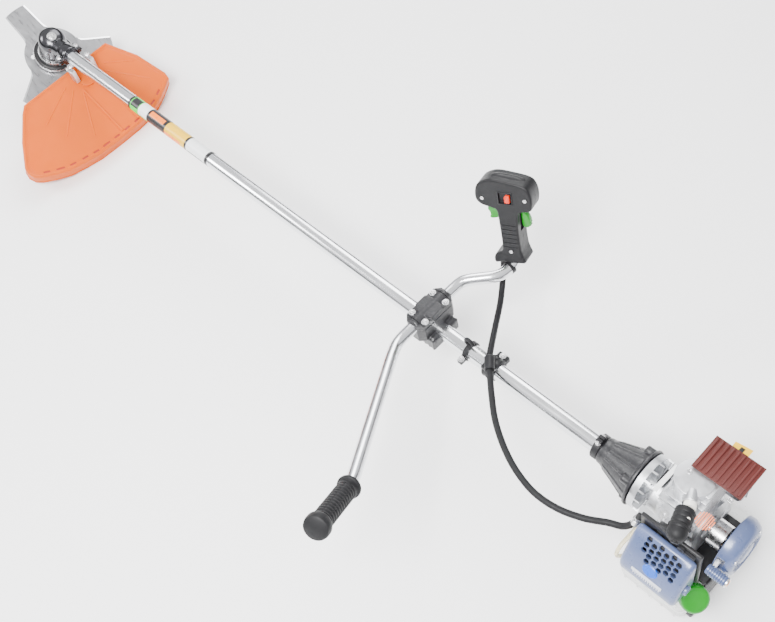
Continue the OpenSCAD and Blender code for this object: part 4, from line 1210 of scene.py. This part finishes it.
def boot():
    n = 26
    a, b, c = Vector((-159, 40, 104)), Vector((-165, 62, 107)), Vector((-172.5, 83, 103.5))
    path, radii = [], []
    for i in range(n + 1):
        t = i / n
        path.append((1 - t) ** 2 * a + 2 * t * (1 - t) * b + t * t * c)
        end = 13.6 * math.sqrt(max(1 - ((i - 19.5) / 7.2) ** 2, 0.02))
        radii.append(13.6 - 0.9 * (i % 4 == 0) if i < 20 else end)
    o = sweep("boot", path, 0, 48, radii=radii)
    e = (c - b).normalized()
    rim = lathe("rim", ringp(14.8, 11, -1.5, 1.5, 0.8), toward(path[14], path[15] - path[13]), 48)
    knob = sweep("tip", [c - e * 3, c, c + e * 2], 0, 24, radii=[6.4, 6, 4.6])
    a = path[16]
    tail = sweep("lead", catmull([a, a + Vector((10, 4, -4)), a + Vector((19, 4, -12)),
                                  a + Vector((23, 0, -22))], 8), 4, 20)
    done(join([o, rim, knob, tail]), "machine", M["rubber"], ["plug_boot"], sharp=40)


boot()


def filter_parts():
    base = box("base", (-208, 66.2, -14), (-114, 72, 80), 2.2, 3)
    cut(base, lathe("throat", pill(10, -10, 40, 0.1), move(-143, 60, 58) @ rot(-90, "X"), 40))
    done(base, "machine", M["black_plastic"], ["filter_base"])
    line = [(72.4, -12), (72.4, 64), (82, 62.5), (91, 55), (104, 37), (114, 22), (119, 10), (120, -2),
            (119, -12)]
    o = prism("lid", line, -206, -116, YZ)
    bevel(o, 8, 6, 40)
    core = prism("core", [(70, -9), (70, 60), (82, 58), (89, 51), (101, 34), (111, 19), (115.6, 9),
                          (116.4, -2), (115.6, -9)], -203, -119, YZ)
    cut(o, box("flat", (-220, 60, -40), (-100, 72.4, 90)))
    cut(o, core)
    holes = []
    for i in range(6):
        for j in range(4):
            x, q = -140 - 9.6 * i, 3.5 + 8.8 * j + (4.4 if i % 2 else 0)
            if not (i == 0 and j == 3):
                holes.append(prism("h", hexagon(4.5), -12, 12,
                                   toward((x, 84 + q * 0.55, 62.4 - q * 0.835), (0, 0.835, 0.55))))
    cut(o, holes)
    done(o, "filter_lid", M["slate_plastic"], ["filter_cover"], sharp=36)
    m = toward((-160, 110.6, 27.4), (0, 0.835, 0.55))
    badge = lathe("badge", [(0, 1), (7.4, 1), (8.6, 0), (8.6, -2), (0, -2)],
                  m @ Matrix.Scale(1.35, 4, (1, 0, 0)), 48)
    done(badge, "filter_lid", M["mark_blue"])
    teeth = [box("tooth", (-182 + 3.4 * k, 116.5, 7.5), (-180.4 + 3.4 * k, 119.8, 15.5), 0.5, 2)
             for k in range(13)]
    done(join([box("strip", (-184, 114, 6.4), (-136, 118.6, 16.6), 1, 3)] + teeth), "filter_lid",
         M["grey_print"])
    knob = lathe("knob", [(0, 0), (7, 0), (7, 3), (6, 4.4), (0, 4.4)], move(-206.2, 96, 14) @ rot(-90, "Y"),
                 32)
    cutk = box("k", (-212, 90, 13.2), (-208.6, 102, 14.8))
    cut(knob, cutk)
    done(knob, "filter_lid", M["slate_plastic"])
    foam = box("foam", (-196, 74, -4), (-126, 82, 50), 2.5, 3)
    done(foam, "machine", M["foam"], ["filter_element"])


filter_parts()


def tank():
    o = box("tank", (-210, -78, -118), (-102, 98, -58), 13, 6)
    neck = lathe("neck", [(14, -28), (14, -6), (14.6, -5), (14.6, -3.6), (14, -3), (14, -1), (13.4, 0),
                          (11.2, 0), (11.2, -28), (14, -28)], toward(NECK, NECK_D), 64)
    ribs = [box("rib", (-200 + 21 * k, 97.2, -112), (-197 + 21 * k, 98.2, -64), 0.4, 2) for k in range(5)]
    band = sweep("band", rounded([(-210, -60, -87), (-210, 98, -87), (-102, 98, -87), (-102, -78, -87),
                                  (-210, -78, -87), (-210, -60, -87)], 13, 5)[:-1], 1.3, 12)
    inside = box("hollow", (-207.4, -75.4, -115.4), (-104.6, 95.4, -60.6), 11, 5)
    cut(o, inside)
    cut(o, lathe("mouth", pill(11.2, -40, 3, 0.1), toward(NECK, NECK_D), 48))
    join([o, neck, band] + ribs)
    done(o, "machine", M["tank_plastic"], ["fuel_tank"], sharp=40)
    fuel = box("fuel", (-206, -74, -114), (-106, 94, -92), 9, 4)
    done(fuel, "machine", M["clear_hose"])
    h = toward(NECK, NECK_D)
    prof = [(14.4, -5.4), (19.4, -5.4), (20.6, -4.6), (20.8, 4.6), (20.2, 7.4), (18.4, 9.4), (15.6, 10),
            (13, 9.5), (0, 9.3), (0, 0.4), (14.4, 0.4), (14.4, -5.4)]
    cap = lathe("cap", prof, h, 120)
    flutes = [lathe("flute", pill(1.15, -9, 6.2, 0.6), h @ rot(10 * k, "Z") @ move(21.1, 0, 0), 12)
              for k in range(36)]
    cut(cap, flutes)
    done(cap, "cap_body", M["green_plastic"], ["fuel_cap"], sharp=36)
    o = sweep("hose", hose_path(), 3, 20)
    done(o, "machine", M["clear_hose"], ["fuel_line"], sharp=60)


def hose_path():
    return rounded(HOSE, 14, 8)


HOSE = [(-108, 84, -56.1), (-108, 100, -32), (-106, 112, -8), (-106, 104, 10), (-107, 84, 12), (-109, 60, 20),
        (-116, 54, 44), (-124.2, 52, 50)]
tank()


def stand():
    parts = []
    for y in (-72, 72):
        parts.append(box("skid", (-216, y - 7, -HIGH), (-92, y + 7, -118.4), 3.2, 4))
        for k in range(3):
            parts.append(box("bar", (-200 + 40 * k, y - 7.4, -HIGH + 5), (-192 + 40 * k, y + 7.4, -121), 1,
                             2))
    parts += [box("front", (-101.5, -70, -122), (-97, 70, -50.1), 1.6, 3),
              box("rear", (-215, -52, -122), (-210.5, 52, -50.1), 1.6, 3),
              box("shelf", (-124, -52, -57.8), (-97, 52, -50.1), 1.2, 2),
              box("shelf", (-215, -52, -57.8), (-168, 52, -50.1), 1.2, 2)]
    for x in (-101.9, -215.4):
        for y in (-40, -14, 14, 40):
            parts.append(box("rib", (x, y - 1.6, -116), (x + 4.9, y + 1.6, -60), 0.7, 2))
    done(join(parts), "machine", M["black_plastic"], ["tank_stand"])


stand()


# ---------- inner pieces keep their CAD shape ----------
for node, mat in {
    "output_shaft": "steel", "driven_bevel_gear": "steel", "drive_pinion": "steel", "ball_bearings": "steel",
    "drive_shaft": "steel",
    "shaft_bushes": "rubber", "clutch_drum": "iron", "clutch_shoes": "iron", "flywheel_fan": "alloy",
    "crankcase": "alloy",
    "crankshaft": "steel", "connecting_rod": "steel", "piston": "alloy", "spark_plug": "ceramic",
    "ignition_coil": "black_plastic", "carburettor": "alloy", "throttle_lever": "steel",
    "choke_lever": "black_plastic",
    "primer_bulb": "clear_hose", "starter_pulley": "black_plastic",
}.items():
    cad(node, mat)


# ---------- camera, light, floor ----------
def camera():
    az, el, roll = math.radians(31.2), math.radians(55.6), math.radians(16.8)
    out = Vector((-math.cos(az) * math.cos(el), math.sin(az) * math.cos(el), math.sin(el)))
    at_ = TO_ROW @ Vector((418, 30, 0))
    right = (-out).cross(Vector((0, 0, 1))).normalized()
    up = right.cross(-out).normalized()
    r2 = right * math.cos(roll) - up * math.sin(roll)
    u2 = up * math.cos(roll) + right * math.sin(roll)
    m = Matrix((r2, u2, out)).transposed().to_4x4()
    m.translation = at_ + out * 1.693
    cam = bpy.data.objects.new("camera", bpy.data.cameras.new("camera"))
    cam.data.sensor_width = 36
    cam.data.lens = 48.4
    cam.matrix_world = m
    link(cam)
    bpy.context.scene.camera = cam


def light():
    w = bpy.data.worlds.new("studio")
    w.use_nodes = True
    nt = w.node_tree
    bg = nt.nodes["Background"]
    tc = nt.nodes.new("ShaderNodeTexCoord")
    sep = nt.nodes.new("ShaderNodeSeparateXYZ")
    ramp = nt.nodes.new("ShaderNodeValToRGB")
    nt.links.new(tc.outputs["Generated"], sep.inputs[0])
    nt.links.new(sep.outputs["Z"], ramp.inputs[0])
    nt.links.new(ramp.outputs[0], bg.inputs["Color"])
    cr = ramp.color_ramp
    cr.elements[0].position, cr.elements[0].color = 0.0, (0.05, 0.05, 0.055, 1)
    cr.elements[1].position, cr.elements[1].color = 1.0, (1, 1, 1, 1)
    for at_z, v in ((0.12, 0.06), (0.28, 0.5), (0.5, 0.95), (0.62, 0.8)):
        e = cr.elements.new(at_z)
        e.color = (v, v, v * 1.03, 1)
    bg.inputs["Strength"].default_value = 1.5
    bpy.context.scene.world = w
    for name, loc, size, power in (("key", (-0.9, 1.2, 2.4), 1.1, 190), ("fill", (0.9, -1.8, 1.9), 1.6, 70),
                                   ("front", (1.9, 1.2, 1.6), 0.8, 45)):
        d = bpy.data.lights.new(name, "AREA")
        d.size, d.energy = size, power
        o = bpy.data.objects.new(name, d)
        o.location = loc
        o.rotation_euler = (-Vector(loc)).to_track_quat("-Z", "Y").to_euler()
        link(o)


def floor():
    o = raw("floor", [(-7, -7, -0.0005), (7, -7, -0.0005), (7, 7, -0.0005), (-7, 7, -0.0005)], [(0, 1, 2, 3)])
    o.data.materials.append(paint("floor", (1.0, 1.0, 1.0), 0.9, 0, 0.01, 0.05, 2, 60, 0.02))


camera()
light()
floor()
